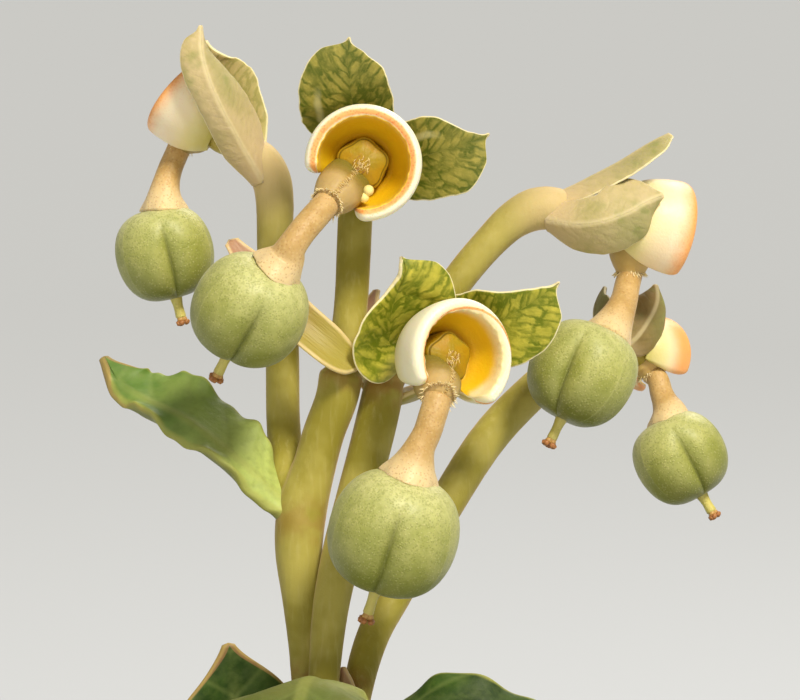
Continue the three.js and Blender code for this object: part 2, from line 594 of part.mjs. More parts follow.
// Flower heads. base is the end of the stalk, front the middle of the gland's rim, size the
// scale of gland and involucre, gap the turns in degrees where the gland's two horns end, from
// the side where the pedicel leaves, pedicel the bent stalk of the capsule: x, y, height, radius.
const HEADS = [
  {
    base: [-4.9, 7.5, 29.4], front: [-8.7, 9.2, 32.6], size: 0.84, gap: [-40, 26],
    pedicel: [[-8.6, 9.5, 29.9, 0.66], [-8.9, 9.2, 29.2, 0.66], [-9.2, 8.8, 28.5, 0.68],
      [-9.4, 8.3, 27.8, 0.75], [-9.5, 7.9, 27.1, 0.94], [-9.5, 7.7, 26.2, 1.38]],
    capsule: { centre: [-9.5, 7.5, 23.9], axis: [0.26, -0.1, -1], radius: 2.74, height: 5.1, spin: 110 },
    bracts: {
      near: {
        spine: [[-4.1, 7.3, 27.9], [-5.3, 6.0, 30.2], [-6.3, 5.3, 32.2], [-7.0, 5.2, 33.8],
          [-7.4, 5.6, 35.3], [-7.4, 6.6, 36.6]],
        left: [0.7, 1.8, 1.95, 1.75, 1.4, 0.8, 0.15],
        right: [0.5, 1.0, 1.0, 1.0, 1.1, 0.9, 0.15],
        face: [-0.5, 1, 0.1], cup: 0.25, fold: 0.25,
      },
      far: {
        spine: [[-4.2, 8.8, 29.0], [-5.2, 10.2, 30.4], [-6.1, 11.4, 31.6], [-6.8, 12.0, 32.9],
          [-7.2, 12.0, 34.3], [-7.3, 11.4, 35.4]],
        left: [0.5, 1.0, 1.2, 1.4, 1.3, 0.9, 0.15],
        right: [0.5, 1.7, 2.2, 2.4, 2.2, 1.5, 0.15],
        face: [-0.5, -1, 0.1], cup: -0.1, fold: 0,
      },
    },
  },
  {
    base: [1.3, 5.0, 28.9], front: [1.6, -0.7, 29.8], size: 1, gap: [-36, 32],
    anthers: [[0.92, 1.5, -0.6], [0.75, 1.84, -0.7]],
    pedicel: [[-0.35, -1.5, 27.7, 0.72], [-1.0, -2.4, 27.05, 0.75], [-1.65, -3.1, 26.35, 0.75],
      [-2.2, -3.5, 25.6, 0.80], [-2.5, -3.4, 25.0, 1.04], [-3.1, -3.2, 24.2, 1.50]],
    capsule: { centre: [-4.5, -2.7, 22.1], axis: [-0.48, 0.28, -1], radius: 3.15, height: 5.6, spin: -10 },
    bracts: {
      upper: {
        spine: [[1.3, 5.2, 29.2], [1.1, 4.2, 31.2], [1.0, 3.2, 32.5], [0.8, 2.4, 33.8],
          [0.7, 2.2, 35.1], [0.8, 2.4, 36.3]],
        left: [0.5, 1.9, 2.7, 2.9, 2.85, 2.5, 1.6, 0.15],
        right: [0.5, 1.7, 2.1, 2.2, 2.1, 1.9, 1.0, 0.15],
        face: [0, -1, 0.15], cup: 0.12, fold: 0.05,
      },
      side: {
        spine: [[1.5, 5.1, 28.9], [3.3, 3.9, 29.3], [4.6, 2.8, 29.7], [6.0, 2.0, 30.2],
          [7.2, 1.7, 30.6], [8.4, 1.9, 31.1]],
        left: [0.5, 1.6, 2.0, 2.1, 2.0, 1.3, 0.5, 0.15],
        right: [0.5, 1.6, 2.1, 2.4, 2.5, 2.5, 1.5, 0.15],
        face: [0, -1, 0.15], cup: 0.12, fold: 0.05,
      },
    },
  },
  {
    base: [3.8, 2.9, 18.5], front: [7.0, -2.1, 19.5], size: 1, gap: [-18, 64],
    pedicel: [[5.6, -3.2, 17.5, 0.75], [5.3, -3.7, 16.6, 0.76], [5.0, -4.0, 15.7, 0.76],
      [4.6, -4.2, 14.9, 0.84], [4.3, -4.3, 14.1, 1.16], [4.0, -4.3, 13.2, 1.66]],
    capsule: { centre: [3.2, -4.4, 10.3], axis: [-0.31, 0.1, -1], radius: 3.52, height: 6.5, spin: 3 },
    bracts: {
      left: {
        spine: [[3.9, 3.2, 18.6], [2.9, 2.4, 19.5], [2.9, 1.4, 21.0], [3.3, 0.7, 22.7],
          [3.7, 0.3, 23.8], [3.6, 0.5, 24.6]],
        left: [0.5, 2.1, 2.5, 1.9, 0.7, 0.25, 0.2, 0.12],
        right: [0.5, 1.6, 2.4, 3.0, 3.2, 3.1, 1.9, 0.15],
        face: [0.45, -1, 0.1], cup: 0.1, fold: 0.22,
      },
      right: {
        spine: [[4.0, 3.4, 18.7], [5.7, 3.5, 19.8], [7.6, 3.0, 20.4], [9.2, 2.1, 21.0],
          [10.9, 1.5, 22.1], [12.2, 1.3, 23.1]],
        left: [0.5, 1.4, 1.9, 2.0, 1.9, 1.2, 0.5, 0.15],
        right: [0.5, 1.6, 2.2, 2.5, 2.6, 2.5, 1.7, 0.15],
        face: [0.1, -1, 0.1], cup: 0.12, fold: 0.16,
      },
    },
  },
  {
    base: [13.1, 10.8, 26.1], front: [19.1, 12.7, 24.4], size: 0.93, gap: [-22, 40],
    pedicel: [[16.5, 11.5, 22.3, 0.70], [16.3, 10.9, 21.7, 0.72], [16.1, 10.1, 21.0, 0.76],
      [15.8, 9.2, 20.4, 0.88], [15.4, 8.6, 19.7, 1.14], [15.0, 8.1, 19.0, 1.50]],
    capsule: { centre: [13.7, 7.2, 17.2], axis: [-0.5, -0.25, -1], radius: 3.05, height: 5.6, spin: 27 },
    bracts: {
      upper: {
        spine: [[12.0, 10.9, 26.4], [14.2, 11.0, 27.5], [16.1, 11.1, 28.5], [17.5, 11.3, 29.4],
          [18.7, 11.8, 30.1]],
        left: [0.9, 1.4, 1.5, 1.5, 1.4, 1.1, 0.4],
        right: [0.9, 1.4, 1.5, 1.5, 1.4, 1.1, 0.4],
        face: [0.4, 0.1, -1], cup: 0.2, fold: 0.1,
      },
      near: {
        spine: [[11.7, 9.8, 25.6], [13.2, 8.9, 25.4], [14.8, 8.5, 25.6], [16.3, 8.8, 26.1],
          [17.3, 9.3, 26.6], [18.2, 9.8, 26.9]],
        left: [0.7, 1.5, 1.9, 1.9, 1.6, 0.9, 0.15],
        right: [0.9, 1.2, 1.35, 1.5, 1.9, 1.9, 1.2, 0.15],
        face: [0.2, 1, 0], cup: 0.2, fold: 0.38,
      },
    },
  },
  {
    base: [15.7, 12.6, 17.9], front: [18.4, 16.2, 16.9], size: 0.72, gap: [-31, 40],
    pedicel: [[17.8, 14.4, 16.2, 0.60], [18.2, 13.9, 15.9, 0.62], [18.4, 13.4, 15.2, 0.66],
      [18.6, 13.0, 14.7, 0.76], [18.8, 12.6, 14.2, 1.02], [18.9, 12.3, 13.5, 1.36]],
    capsule: { centre: [19.4, 11.9, 11.7], axis: [0.6, -0.2, -1], radius: 2.65, height: 4.9, spin: -14 },
    bracts: {
      near: {
        spine: [[15.9, 12.2, 17.8], [16.8, 12.5, 18.5], [17.5, 13.1, 19.4], [18.0, 13.9, 20.3],
          [18.1, 14.8, 21.2]],
        left: [0.4, 1.2, 1.5, 1.4, 0.9, 0.15],
        right: [0.4, 1.2, 1.5, 1.4, 0.9, 0.15],
        face: [-0.6, 1, -0.3], cup: 0.25, fold: 0.1,
      },
      far: {
        spine: [[15.2, 13.0, 18.1], [14.9, 14.4, 18.9], [14.9, 15.7, 19.8], [15.3, 16.8, 20.8]],
        left: [0.4, 1.2, 1.5, 1.3, 0.7, 0.15],
        right: [0.4, 1.2, 1.5, 1.3, 0.7, 0.15],
        face: [1, -0.4, -0.4], cup: 0.25, fold: 0.1,
      },
    },
  },
];

// Sections of a head of size 1: distance from its axis, and distance behind the gland's rim
const GLAND_SECTION = [
  [1.60, -4.1], [2.42, -3.2], [2.94, -2.1], [3.15, -0.7], [2.95, 0.0], [2.57, 0.0],
  [2.41, -0.5], [2.20, -1.8], [1.60, -3.1],
];
const INVOLUCRE_SECTION = [
  [0.95, -5.1], [1.28, -4.5], [1.38, -2.1], [1.20, -1.5], [0.70, -1.15],
];
const INVOLUCRE_SIDES = 10;
const LOBED_FROM = 2;
const INVOLUCRE_LOBES = 5;
const SPOUT_START = -2.9;
const SPOUT_RADII = [0.9, 1.42, 1.25];
const SPOUT_LIP = 0.1;
const ANTHER_RADIUS = 0.3;

// A head's own axes: along points out of the gland, gap to the opening where the pedicel leaves
function headAxes(head) {
  const base = vec(raise(head.base));
  const front = vec(raise(head.front));
  const along = front.clone().sub(base).normalize();
  const exit = vec(raise(head.pedicel[0]));
  const gap = exit.clone().sub(front);
  gap.addScaledVector(along, -gap.dot(along)).normalize();
  const side = along.clone().cross(gap);
  return { base, front, along, gap, side, exit };
}

function headPoint(axes, angle, radius, depth) {
  const point = axes.front.clone().addScaledVector(axes.along, depth);
  point.addScaledVector(axes.gap, radius * Math.cos(angle));
  return point.addScaledVector(axes.side, radius * Math.sin(angle));
}

// The gland: one section swept round the head's axis from one side of the gap to the other
function gland(head, grow = 0) {
  const axes = headAxes(head);
  const middle = GLAND_SECTION.reduce((sum, [r, w]) => [sum[0] + r, sum[1] + w], [0, 0])
    .map((total) => total / GLAND_SECTION.length);
  const ringAt = (turn, share) => GLAND_SECTION.map(([r, w]) => {
    const radius = (middle[0] + (r - middle[0]) * share) * head.size;
    const depth = (middle[1] + (w - middle[1]) * share) * head.size;
    const away = new THREE.Vector2(r - middle[0], w - middle[1]).normalize();
    return headPoint(axes, degrees(turn), radius + away.x * grow, depth + away.y * grow);
  });
  const from = head.gap[1] + HORN_LENGTH;
  const to = FULL_TURN + head.gap[0] - HORN_LENGTH;
  const rings = [ringAt(from - HORN_SHOULDER, HORN_FULLNESS)];
  for (let i = 0; i <= GLAND_STEPS; i += 1) {
    rings.push(ringAt(from + ((to - from) * i) / GLAND_STEPS, 1));
  }
  rings.push(ringAt(to + HORN_SHOULDER, HORN_FULLNESS));
  const [startPole, endPole] = [from - HORN_LENGTH, to + HORN_LENGTH].map((turn) => (
    headPoint(axes, degrees(turn), middle[0] * head.size, middle[1] * head.size)));
  const reversed = rings.map((ring) => ring.slice().reverse());
  return solid(loft(reversed, startPole, endPole));
}

function ball(centre, radius) {
  const sphere = new THREE.IcosahedronGeometry(radius, 0);
  sphere.translate(centre.x, centre.y, centre.z);
  return solid(sphere);
}

// The involucre: a lobed cup inside the gland, its spout to the pedicel, and anthers
function involucre(head, grow = 0) {
  const axes = headAxes(head);
  const rings = INVOLUCRE_SECTION.map(([r, w], index) => {
    const ring = [];
    for (let i = 0; i < INVOLUCRE_SIDES; i += 1) {
      const angle = (i / INVOLUCRE_SIDES) * Math.PI * 2;
      const lobes = index >= LOBED_FROM ? 0.12 * Math.cos(INVOLUCRE_LOBES * angle) : 0;
      ring.push(headPoint(axes, angle, r * (1 + lobes) * head.size + grow, w * head.size));
    }
    return ring;
  });
  const first = INVOLUCRE_SECTION[0][1] * head.size;
  const last = INVOLUCRE_SECTION[INVOLUCRE_SECTION.length - 1][1] * head.size;
  const back = headPoint(axes, 0, 0, first - 0.25 - grow);
  const tip = headPoint(axes, 0, 0, last + 0.2 + grow);
  const cup = solid(loft(rings, back, tip));
  const inside = headPoint(axes, 0, 0, SPOUT_START * head.size);
  const steps = SPOUT_RADII.length;
  const points = SPOUT_RADII.map((radius, index) => {
    const place = inside.clone().lerp(axes.exit, index / steps);
    return [...place.toArray(), radius * head.size];
  });
  points.push([...axes.exit.toArray(), head.pedicel[0][3] + SPOUT_LIP]);
  const pieces = [cup, tube(points, PEDICEL_SIDES, steps, grow)];
  for (const [angle, radius, depth] of head.anthers ?? []) {
    const centre = headPoint(axes, angle, radius * head.size, depth * head.size);
    pieces.push(ball(centre, ANTHER_RADIUS * head.size + grow));
  }
  return joined(pieces);
}

// Capsule: three lobes with a groove between each two, a faint keel on each lobe's back,
// and a style with three stigmas at its lower end
const CAPSULE_SQUARE = 0.66;
const GROOVE_DEPTH = 0.2;
const GROOVE_TOP = 0.2;
const GROOVE_WIDTH = 0.3;
const KEEL_RISE = 0.015;
const STYLE_RADIUS = 0.32;
const STYLE_LENGTH = 1.15;
const STIGMA_LENGTH = 0.5;
const STIGMA_RADIUS = 0.32;
const STYLE_SIDES = 5;
const STIGMA_SIDES = 4;

function capsuleAxes(capsule) {
  const axis = vec(capsule.axis).normalize();
  const front = new THREE.Vector3(0, -1, 0);
  front.addScaledVector(axis, -front.dot(axis)).normalize();
  const normal = front.applyAxisAngle(axis, degrees(capsule.spin));
  return { axis, normal, side: axis.clone().cross(normal), centre: vec(raise(capsule.centre)) };
}

function capsule(head, grow = 0) {
  const shape = head.capsule;
  const axes = capsuleAxes(shape);
  const half = shape.height / 2;
  const rings = [];
  for (let r = 1; r < CAPSULE_RINGS; r += 1) {
    const polar = (r / CAPSULE_RINGS) * Math.PI;
    const level = -half * Math.cos(polar);
    const width = shape.radius * Math.sin(polar) ** CAPSULE_SQUARE;
    const deeper = THREE.MathUtils.smoothstep(r / CAPSULE_RINGS, GROOVE_TOP, 1 - GROOVE_TOP);
    const depth = GROOVE_DEPTH * (GROOVE_TOP + (1 - GROOVE_TOP) * deeper);
    const ring = [];
    for (let i = 0; i < CAPSULE_SIDES; i += 1) {
      const angle = (i / CAPSULE_SIDES) * Math.PI * 2;
      const third = (Math.PI * 2) / 3;
      const fromGroove = angle - Math.round(angle / third) * third;
      const fromKeel = third / 2 - Math.abs(fromGroove);
      const groove = depth * Math.exp(-((fromGroove / GROOVE_WIDTH) ** 2));
      const keel = KEEL_RISE * Math.exp(-((fromKeel / GROOVE_WIDTH) ** 2));
      const radius = width * (1 - groove + keel) + grow;
      const point = axes.centre.clone().addScaledVector(axes.axis, level * (1 + grow / half));
      point.addScaledVector(axes.normal, radius * Math.cos(angle));
      point.addScaledVector(axes.side, radius * Math.sin(angle));
      ring.push(point);
    }
    rings.push(ring);
  }
  const top = axes.centre.clone().addScaledVector(axes.axis, -half * 0.97 - grow);
  const bottom = axes.centre.clone().addScaledVector(axes.axis, half * 0.97 + grow);
  const pieces = [solid(loft(rings, top, bottom))];
  const along = (distance) => axes.centre.clone().addScaledVector(axes.axis, half + distance);
  const stylePoint = (distance, radius) => [...along(distance).toArray(), radius];
  const scale = shape.radius / 3.2;
  const style = [
    stylePoint(-0.8 * scale, STYLE_RADIUS * 1.6),
    stylePoint(0.2 * scale, STYLE_RADIUS),
    stylePoint(STYLE_LENGTH * scale, STYLE_RADIUS),
  ];
  pieces.push(tube(style, STYLE_SIDES, 2, grow));
  for (let i = 0; i < 3; i += 1) {
    const angle = (i / 3) * Math.PI * 2 + 0.6;
    const foot = along(STYLE_LENGTH * scale - 0.1);
    const tip = along((STYLE_LENGTH + STIGMA_LENGTH) * scale);
    tip.addScaledVector(axes.normal, STIGMA_LENGTH * scale * Math.cos(angle));
    tip.addScaledVector(axes.side, STIGMA_LENGTH * scale * Math.sin(angle));
    const middle = foot.clone().lerp(tip, 0.5).addScaledVector(axes.axis, -0.08);
    const points = [foot, middle, tip].map((p) => [...p.toArray(), STIGMA_RADIUS]);
    pieces.push(tube(points, STIGMA_SIDES, 1, grow));
  }
  return joined(pieces);
}

function buildHead(head, number, stalkSpace) {
  const name = `head_${number}`;
  const cup = cutAway(involucre(head), stalkSpace);
  const cupSpace = involucre(head, SEAT_GAP);
  const ring = cutAway(gland(head), cupSpace, stalkSpace);
  const ringSpace = gland(head, SEAT_GAP);
  const fruit = capsule(head);
  const fruitSpace = capsule(head, SEAT_GAP);
  const path = tube(head.pedicel.map(raise), PEDICEL_SIDES, PEDICEL_STEPS);
  const pathSpace = tube(head.pedicel.map(raise), PEDICEL_SIDES, PEDICEL_STEPS, SEAT_GAP);
  const pedicel = cutAway(path, cupSpace, ringSpace, fruitSpace);
  addMesh(`${name}_involucre`, cup, involucreYellow);
  addMesh(`${name}_gland`, ring, cream);
  addMesh(`${name}_capsule`, fruit, capsuleGreen);
  addMesh(`${name}_pedicel`, pedicel, tan);
  const taken = [stalkSpace, cupSpace, ringSpace, pathSpace, fruitSpace];
  for (const [key, shape] of Object.entries(head.bracts)) {
    const bract = (grow) => (
      blade(raised(shape), BRACT_THICKNESS, BRACT_STATIONS, BRACT_COLUMNS, grow));
    addMesh(`${name}_bract_${key}`, cutAway(bract(0), ...taken), bractGreen);
    taken.push(bract(SEAT_GAP));
  }
  return taken;
}

// A plain round hole in the main stem for the foot of a leaf
function socket(shape) {
  const [foot, next] = shape.spine.map((p) => vec(raise(p)));
  const deeper = foot.clone().lerp(next, -0.1);
  return tube([deeper, next].map((p) => [...p.toArray(), SOCKET_RADIUS]), SOCKET_SIDES, 1);
}

function build() {
  addMesh('pot', pot(), clay);

  const stalkSpace = joined(Object.values(stalks(SEAT_GAP)));
  for (const [name, piece] of Object.entries(stalks())) addMesh(name, piece, stalkGreen);

  const leaves = Object.entries(TOP_LEAVES);
  for (let i = 0; i < LEAF_COUNT; i += 1) leaves.push([`leaf_${i + 1}`, spiralLeaf(i)]);
  const leafSpaces = [];
  for (const [name, shape] of leaves) {
    const leaf = blade(raised(shape), LEAF_THICKNESS, LEAF_STATIONS, LEAF_COLUMNS);
    addMesh(name, cutAway(leaf, stalkSpace, ...leafSpaces), leafGreen);
    leafSpaces.push(blade(raised(shape), LEAF_THICKNESS, LEAF_STATIONS, LEAF_COLUMNS, SEAT_GAP));
  }
  const sockets = leaves.map(([, shape]) => socket(shape));
  const stem = cutAway(tube(MAIN_STEM.map(raise), STEM_SIDES, STEM_STEPS), stalkSpace, ...sockets);
  const stemSpace = tube(MAIN_STEM.map(raise), STEM_SIDES, STEM_STEPS, SEAT_GAP);
  addMesh('main_stem', stem, bark);
  addMesh('soil', cutAway(soil(), stemSpace), earth);

  const forkLeaf = (grow) => (
    blade(raised(FORK_LEAF), LEAF_THICKNESS, FORK_LEAF_STATIONS, LEAF_COLUMNS, grow));
  addMesh('fork_leaf', cutAway(forkLeaf(0), stalkSpace), leafGreen);
  const taken = [stalkSpace, stemSpace, ...leafSpaces, forkLeaf(SEAT_GAP)];
  HEADS.forEach((head, i) => taken.push(...buildHead(head, i + 1, stalkSpace)));
  for (const [name, shape] of Object.entries(SMALL_BRACTS)) {
    const bract = blade(raised(shape), BRACT_THICKNESS, SMALL_BRACT_STATIONS, BRACT_COLUMNS);
    addMesh(name, cutAway(bract, ...taken), bractYellow);
  }
}

build();

export default group;
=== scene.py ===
# Looks for the potted Euphorbia pseudoracemosa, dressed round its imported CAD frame.
# Shapes are in millimetres, and plant pieces are placed from the crown, where the flower stalks
# start. Each finished mesh is turned into metres in the frame's own place. -Y is the front.

import math
import random

import bmesh
import bpy
import numpy as np
from mathutils import Matrix, Vector
from mathutils.bvhtree import BVHTree


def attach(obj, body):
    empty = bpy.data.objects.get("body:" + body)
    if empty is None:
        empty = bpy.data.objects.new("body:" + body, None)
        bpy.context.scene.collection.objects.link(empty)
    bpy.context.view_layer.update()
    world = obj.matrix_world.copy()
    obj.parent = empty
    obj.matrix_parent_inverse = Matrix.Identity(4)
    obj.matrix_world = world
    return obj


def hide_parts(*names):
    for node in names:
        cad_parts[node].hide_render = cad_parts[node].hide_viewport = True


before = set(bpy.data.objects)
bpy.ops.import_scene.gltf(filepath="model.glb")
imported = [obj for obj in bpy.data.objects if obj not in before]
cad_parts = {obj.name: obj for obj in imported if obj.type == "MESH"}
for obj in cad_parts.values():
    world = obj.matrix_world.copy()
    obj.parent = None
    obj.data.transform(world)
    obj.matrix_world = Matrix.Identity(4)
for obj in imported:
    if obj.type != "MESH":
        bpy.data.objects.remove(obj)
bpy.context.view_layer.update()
scene = bpy.context.scene

MM = 0.001
TAU = 2 * math.pi
CROWN_HEIGHT = 137.0
WELD = 2e-4

# Camera: the photograph's view of the crown
PHOTO_WIDTH = 800
VIEW_SCALE = 0.0535
VIEW_DISTANCE = 260.0
VIEW_DOWN = 8.0
VIEW_FOCUS = (3.54, -2.26, 156.87)
SENSOR_WIDTH = 36.0
NEAREST = 0.01
FURTHEST = 30

# Pot and soil
POT_HEIGHT = 70.0
POT_TOP_RADIUS = 44.0
POT_COLLAR_HEIGHT = 17.0
POT_COLLAR_STEP = 2.6
POT_BASE_RADIUS = 29.0
POT_WALL = 4.0
POT_FLOOR = 5.0
POT_INNER_TAPER = 1.5
POT_ROUND = 1.2
POT_STEPS = 144
DRAIN_COUNT = 4
DRAIN_RADIUS = 3.5
DRAIN_RING_RADIUS = 15.0
SOIL_TOP = 62.0
SOIL_GAP = 0.3
SOIL_CROWN = 1.4
SOIL_RINGS = 70
GRAIN_COUNT = 1500
GRAIN_SEED = 7
POT_INSIDE = 38.8
GRAIN_SMALL = 0.35
GRAIN_LARGE = 2.0
SHARP_ANGLE = 50

# Stems
CAP_SHARE = 0.45
STALK_VOXEL = 0.13
STEM_AT_SOIL = 12.8
SCAR_COUNT = 7
SCAR_PITCH = 3.6

# Leaves and bracts
LEAF_COUNT = 8
LEAF_TURN = 137.5
LEAF_FIRST_TURN = 60
LEAF_FIRST_HEIGHT = -17.5
LEAF_PITCH = 4.0
LEAF_FIRST_LENGTH = 43
LEAF_GAIN = 2.4
LEAF_LOSS = 0.25
LEAF_FIRST_HALF = 8.6
LEAF_HALF_GAIN = 0.35
LEAF_ROOT = 2
LEAF_OUTLINE = [0.09, 0.11, 0.26, 0.54, 0.82, 0.98, 1.0, 0.86, 0.52, 0.04]
LEAF_ARCH = [[0, 0], [0.16, 0.08], [0.4, 0.16], [0.66, 0.15], [0.86, 0.07], [1, -0.04]]
LEAF_THICKNESS = 0.8
LEAF_RIB = (0.3, 0.42)
LEAF_VEINS = (2.6, 0.07)
BRACT_THICKNESS = 0.44
BRACT_RIB = (0.1, 0.16)
BRACT_VEINS = (0.62, 0.010)
BRACT_POINTS = {1: 0.4, 2: 0.6, 3: 0.6, 4: 0.0, 5: 0.0}
BRACT_RAGGED = 0.006
BLADE_BODY = [1.6, 1.25, 1.1, 1.0, 1.0, 0.95, 0.85, 0.6]
BLADE_ROUND = 0.8
RIB_SHARE = 1.35
VEIN_SLANT = 0.8
VEIN_WIDTH = 0.13
MIDRIB_SOFTNESS = 0.012
CRISP = 0.3
CRISP_WAVES = 3

# Flower heads: sizes for a head of size 1. The gland's section gives radius, depth and tone.
GLAND_SECTION = [
    [1.45, -4.05, 0.02], [1.95, -3.75, 0.06], [2.42, -3.20, 0.12], [2.80, -2.45, 0.20],
    [3.02, -1.60, 0.28], [3.13, -0.85, 0.34], [3.15, -0.35, 0.38], [3.06, -0.08, 0.43],
    [2.90, 0.05, 0.48], [2.72, 0.06, 0.54], [2.57, -0.02, 0.60], [2.47, -0.16, 0.65],
    [2.43, -0.38, 0.69], [2.38, -0.80, 0.74], [2.25, -1.30, 0.81], [2.04, -1.75, 0.88],
    [1.74, -2.15, 0.95], [1.40, -2.55, 1.00],
]
GLAND_ROUND = 13
LIP_TONE = 0.65
LIP_FADE = 0.75
HORN_PALENESS = 0.11
HORN_PALE_REACH = 0.5
LIP_CRINKLE = 0.016
LIP_CREST = 0.045

# Each head's orange line: its tone on the left and on the right of the gap, its half width, the
# tone where the gland's inside is amber throughout, and how pink the gland's back is. The last
# also sets how much paler the involucre's spout is painted: painted light, against its shade
GLAND_LINES = {
    1: (0.47, 0.47, 0.12, 0.72, 0.4), 2: (0.525, 0.575, 0.065, 0.72, 0.0),
    3: (0.63, 0.40, 0.028, 0.77, 0.0), 4: (0.45, 0.45, 0.11, 0.72, 0.6),
    5: (0.40, 0.40, 0.17, 0.72, 1.0),
}
CUP_RADII = [0, 0.95, 1.22, 1.30, 1.34, 1.36, 1.38, 1.37, 1.24, 1.02, 0.76, 0.42, 0]
CUP_DEPTHS = [-5.3, -5.1, -4.6, -4.1, -3.6, -2.9, -2.1, -1.68, -1.45, -1.34, -1.24, -1.16, -1.12]
CUP_EDGE = 0.655
CUP_LOBES = 5
CUP_CORNER = 0.07
CUP_SEAM = 0.012
SPOUT_START = -2.9
SPOUT_RADII = [0.85, 1.15, 1.3, 1.36, 1.32, 1.12]
SPOUT_LIP = 0.11
SPOUT_TONE = 2.0
SLIT_DEPTH = 0.07
SLIT_WIDTH = 0.16
SPOUT_FLATNESS = 0.42
STITCHES = 18
STITCH_REACH = 0.22
CENTRE_HAIRS = 40
CENTRE_REACH = 0.5
COLLAR_HAIRS = 70
HAIR_LENGTH = 0.36
HAIR_RADIUS = 0.024
HAIR_SEED = 11
ANTHER_RADIUS = 0.29

# Capsules
CAPSULE_SQUARE = 0.66
GROOVE_DEPTH = 0.27
GROOVE_TOP = 0.1
GROOVE_SHARPNESS = 4.5
KEEL_RISE = 0.008
STYLE_LENGTH = 1.35
STYLE_RADIUS = 0.3

# Faces round each piece and along it
MAIN_STEM_MESH = (150, 420)
STALK_MESH = (48, 40)
LEAF_MESH = (64, 150)
FORK_LEAF_MESH = (56, 110)
BRACT_MESH = (56, 110)
SMALL_BRACT_MESH = (48, 60)
GLAND_MESH = (110, 260)
CUP_MESH = (120, 100)
SPOUT_MESH = (96, 60)
PEDICEL_MESH = (72, 90)
CAPSULE_MESH = (180, 110)
STYLE_MESH = (20, 24)
STIGMA_MESH = (12, 8)
FILAMENT_MESH = (8, 6)

# Light, for a plant about 170 mm tall
SUN_FROM = (0.38, -0.66, 0.9)
SUN_POWER = 3.5
SUN_SPREAD = 14
FILL_PLACE = (-0.15, -0.8, 0.22)
FILL_POWER = 1.5
BACK_PLACE = (0.25, 0.6, 0.6)
BACK_POWER = 2.0
WORLD_POWER = 0.28
FILL_SIZE = 0.5
BACK_SIZE = 0.3
LIT_PLACE = (0, 0, 0.14)
WARM_LIGHT = (1.0, 0.93, 0.78)
BACK_LIGHT = (1.0, 0.95, 0.85)
SKY_LIGHT = (1.0, 0.96, 0.86, 1)
FLOOR_SIZE = 12.0
FLOOR_COLOUR = (194, 199, 209)
FLOOR_ROUGHNESS = 0.8

# Colours, 0 to 255 as they show on a screen
LEAF_DARK = (28, 52, 8)
LEAF_LIGHT = (58, 86, 22)
LEAF_BASE = (160, 160, 84)
# The fork leaf's colours, lighter than the other leaves', are partly its own and partly painted light, for
# the light that shines through it.
FORK_LEAF_DARK = (84, 118, 46)
FORK_LEAF_LIGHT = (136, 158, 78)
FORK_LEAF_BASE = (196, 208, 118)

# Each head's bracts: the cells and the veins of the inner side, then those of the outer side
BRACT_COLOURS = {
    1: ((198, 182, 128), (160, 154, 92), (206, 186, 142), (170, 158, 100)),
    2: ((166, 154, 70), (84, 94, 14), (210, 194, 150), (176, 164, 110)),
    3: ((200, 190, 72), (106, 118, 12), (214, 198, 136), (172, 164, 96)),
    4: ((176, 166, 74), (104, 110, 26), (202, 184, 138), (160, 154, 92)),
    # Head 5's bracts are painted darker all over: painted shade, for the shade of head 4 that falls on them.
    5: ((140, 126, 60), (96, 92, 26), (150, 128, 80), (116, 100, 44)),
}

# Nodes of the flower stalks, where the skin is reddish brown
STALK_JOINTS = [(-1.9, 2.2, 9.9), (0.4, 2.6, 18.4), (2.7, 3.7, 17.2), (-1.4, 0.6, 0.6), (0.6, 0.0, 0.4)]

MAIN_STEM = [
    [0.2, 0.0, -1.6, 2.2],
    [0.1, 0.0, -4.0, 3.6],
    [0.0, 0.0, -10.0, 4.6],
    [0.0, 0.0, -20.0, 5.0],
    [0.0, 0.0, -34.0, 5.4],
    [0.0, 0.0, -48.0, 6.1],
    [0.0, 0.0, -59.0, 7.6],
    [0.0, 0.0, -68.0, 10.2],
    [0.0, 0.0, -76.0, 12.2],
    [0.0, 0.0, -84.0, 11.4],
    [0.0, 0.0, -94.0, 7.6],
    [0.0, 0.0, -104.0, 3.8],
    [0.0, 0.0, -112.0, 1.6],
]

STALK_LEFT = [
    [-1.2, 0.9, -3.4, 0.80],
    [-1.3, 1.0, -1.2, 0.80],
    [-1.5, 1.0, 0.6, 0.86],
    [-1.6, 1.1, 3.1, 0.97],
    [-1.8, 1.4, 5.6, 1.10],
    [-2.0, 1.8, 8.4, 1.31],
    [-1.8, 2.1, 10.5, 1.37],
    [-1.2, 2.4, 12.6, 1.20],
    [-0.6, 2.5, 14.7, 1.15],
    [0.1, 2.5, 16.6, 1.17],
    [0.4, 2.6, 18.3, 1.22],
]

STALK_HEAD_1 = [
    [-1.9, 2.2, 9.7, 0.90],
    [-2.4, 3.0, 11.3, 0.98],
    [-2.7, 4.0, 12.9, 0.96],
    [-2.9, 5.1, 14.9, 0.94],
    [-3.0, 6.7, 19.2, 0.94],
    [-3.4, 7.6, 23.5, 0.97],
    [-3.4, 8.0, 26.8, 1.06],
    [-3.6, 8.0, 28.0, 1.10],
    [-4.2, 7.9, 29.0, 1.10],
    [-5.1, 7.7, 29.6, 0.95],
]

STALK_HEAD_2 = [
    [0.4, 2.5, 18.0, 1.05],
    [0.7, 2.8, 20.0, 0.95],
    [0.9, 3.3, 22.1, 0.93],
    [1.0, 3.9, 24.2, 0.95],
    [1.1, 4.7, 26.4, 0.96],
    [1.2, 5.4, 27.8, 0.99],
    [1.2, 5.6, 28.6, 1.00],
    [1.3, 5.1, 29.0, 0.95],
]

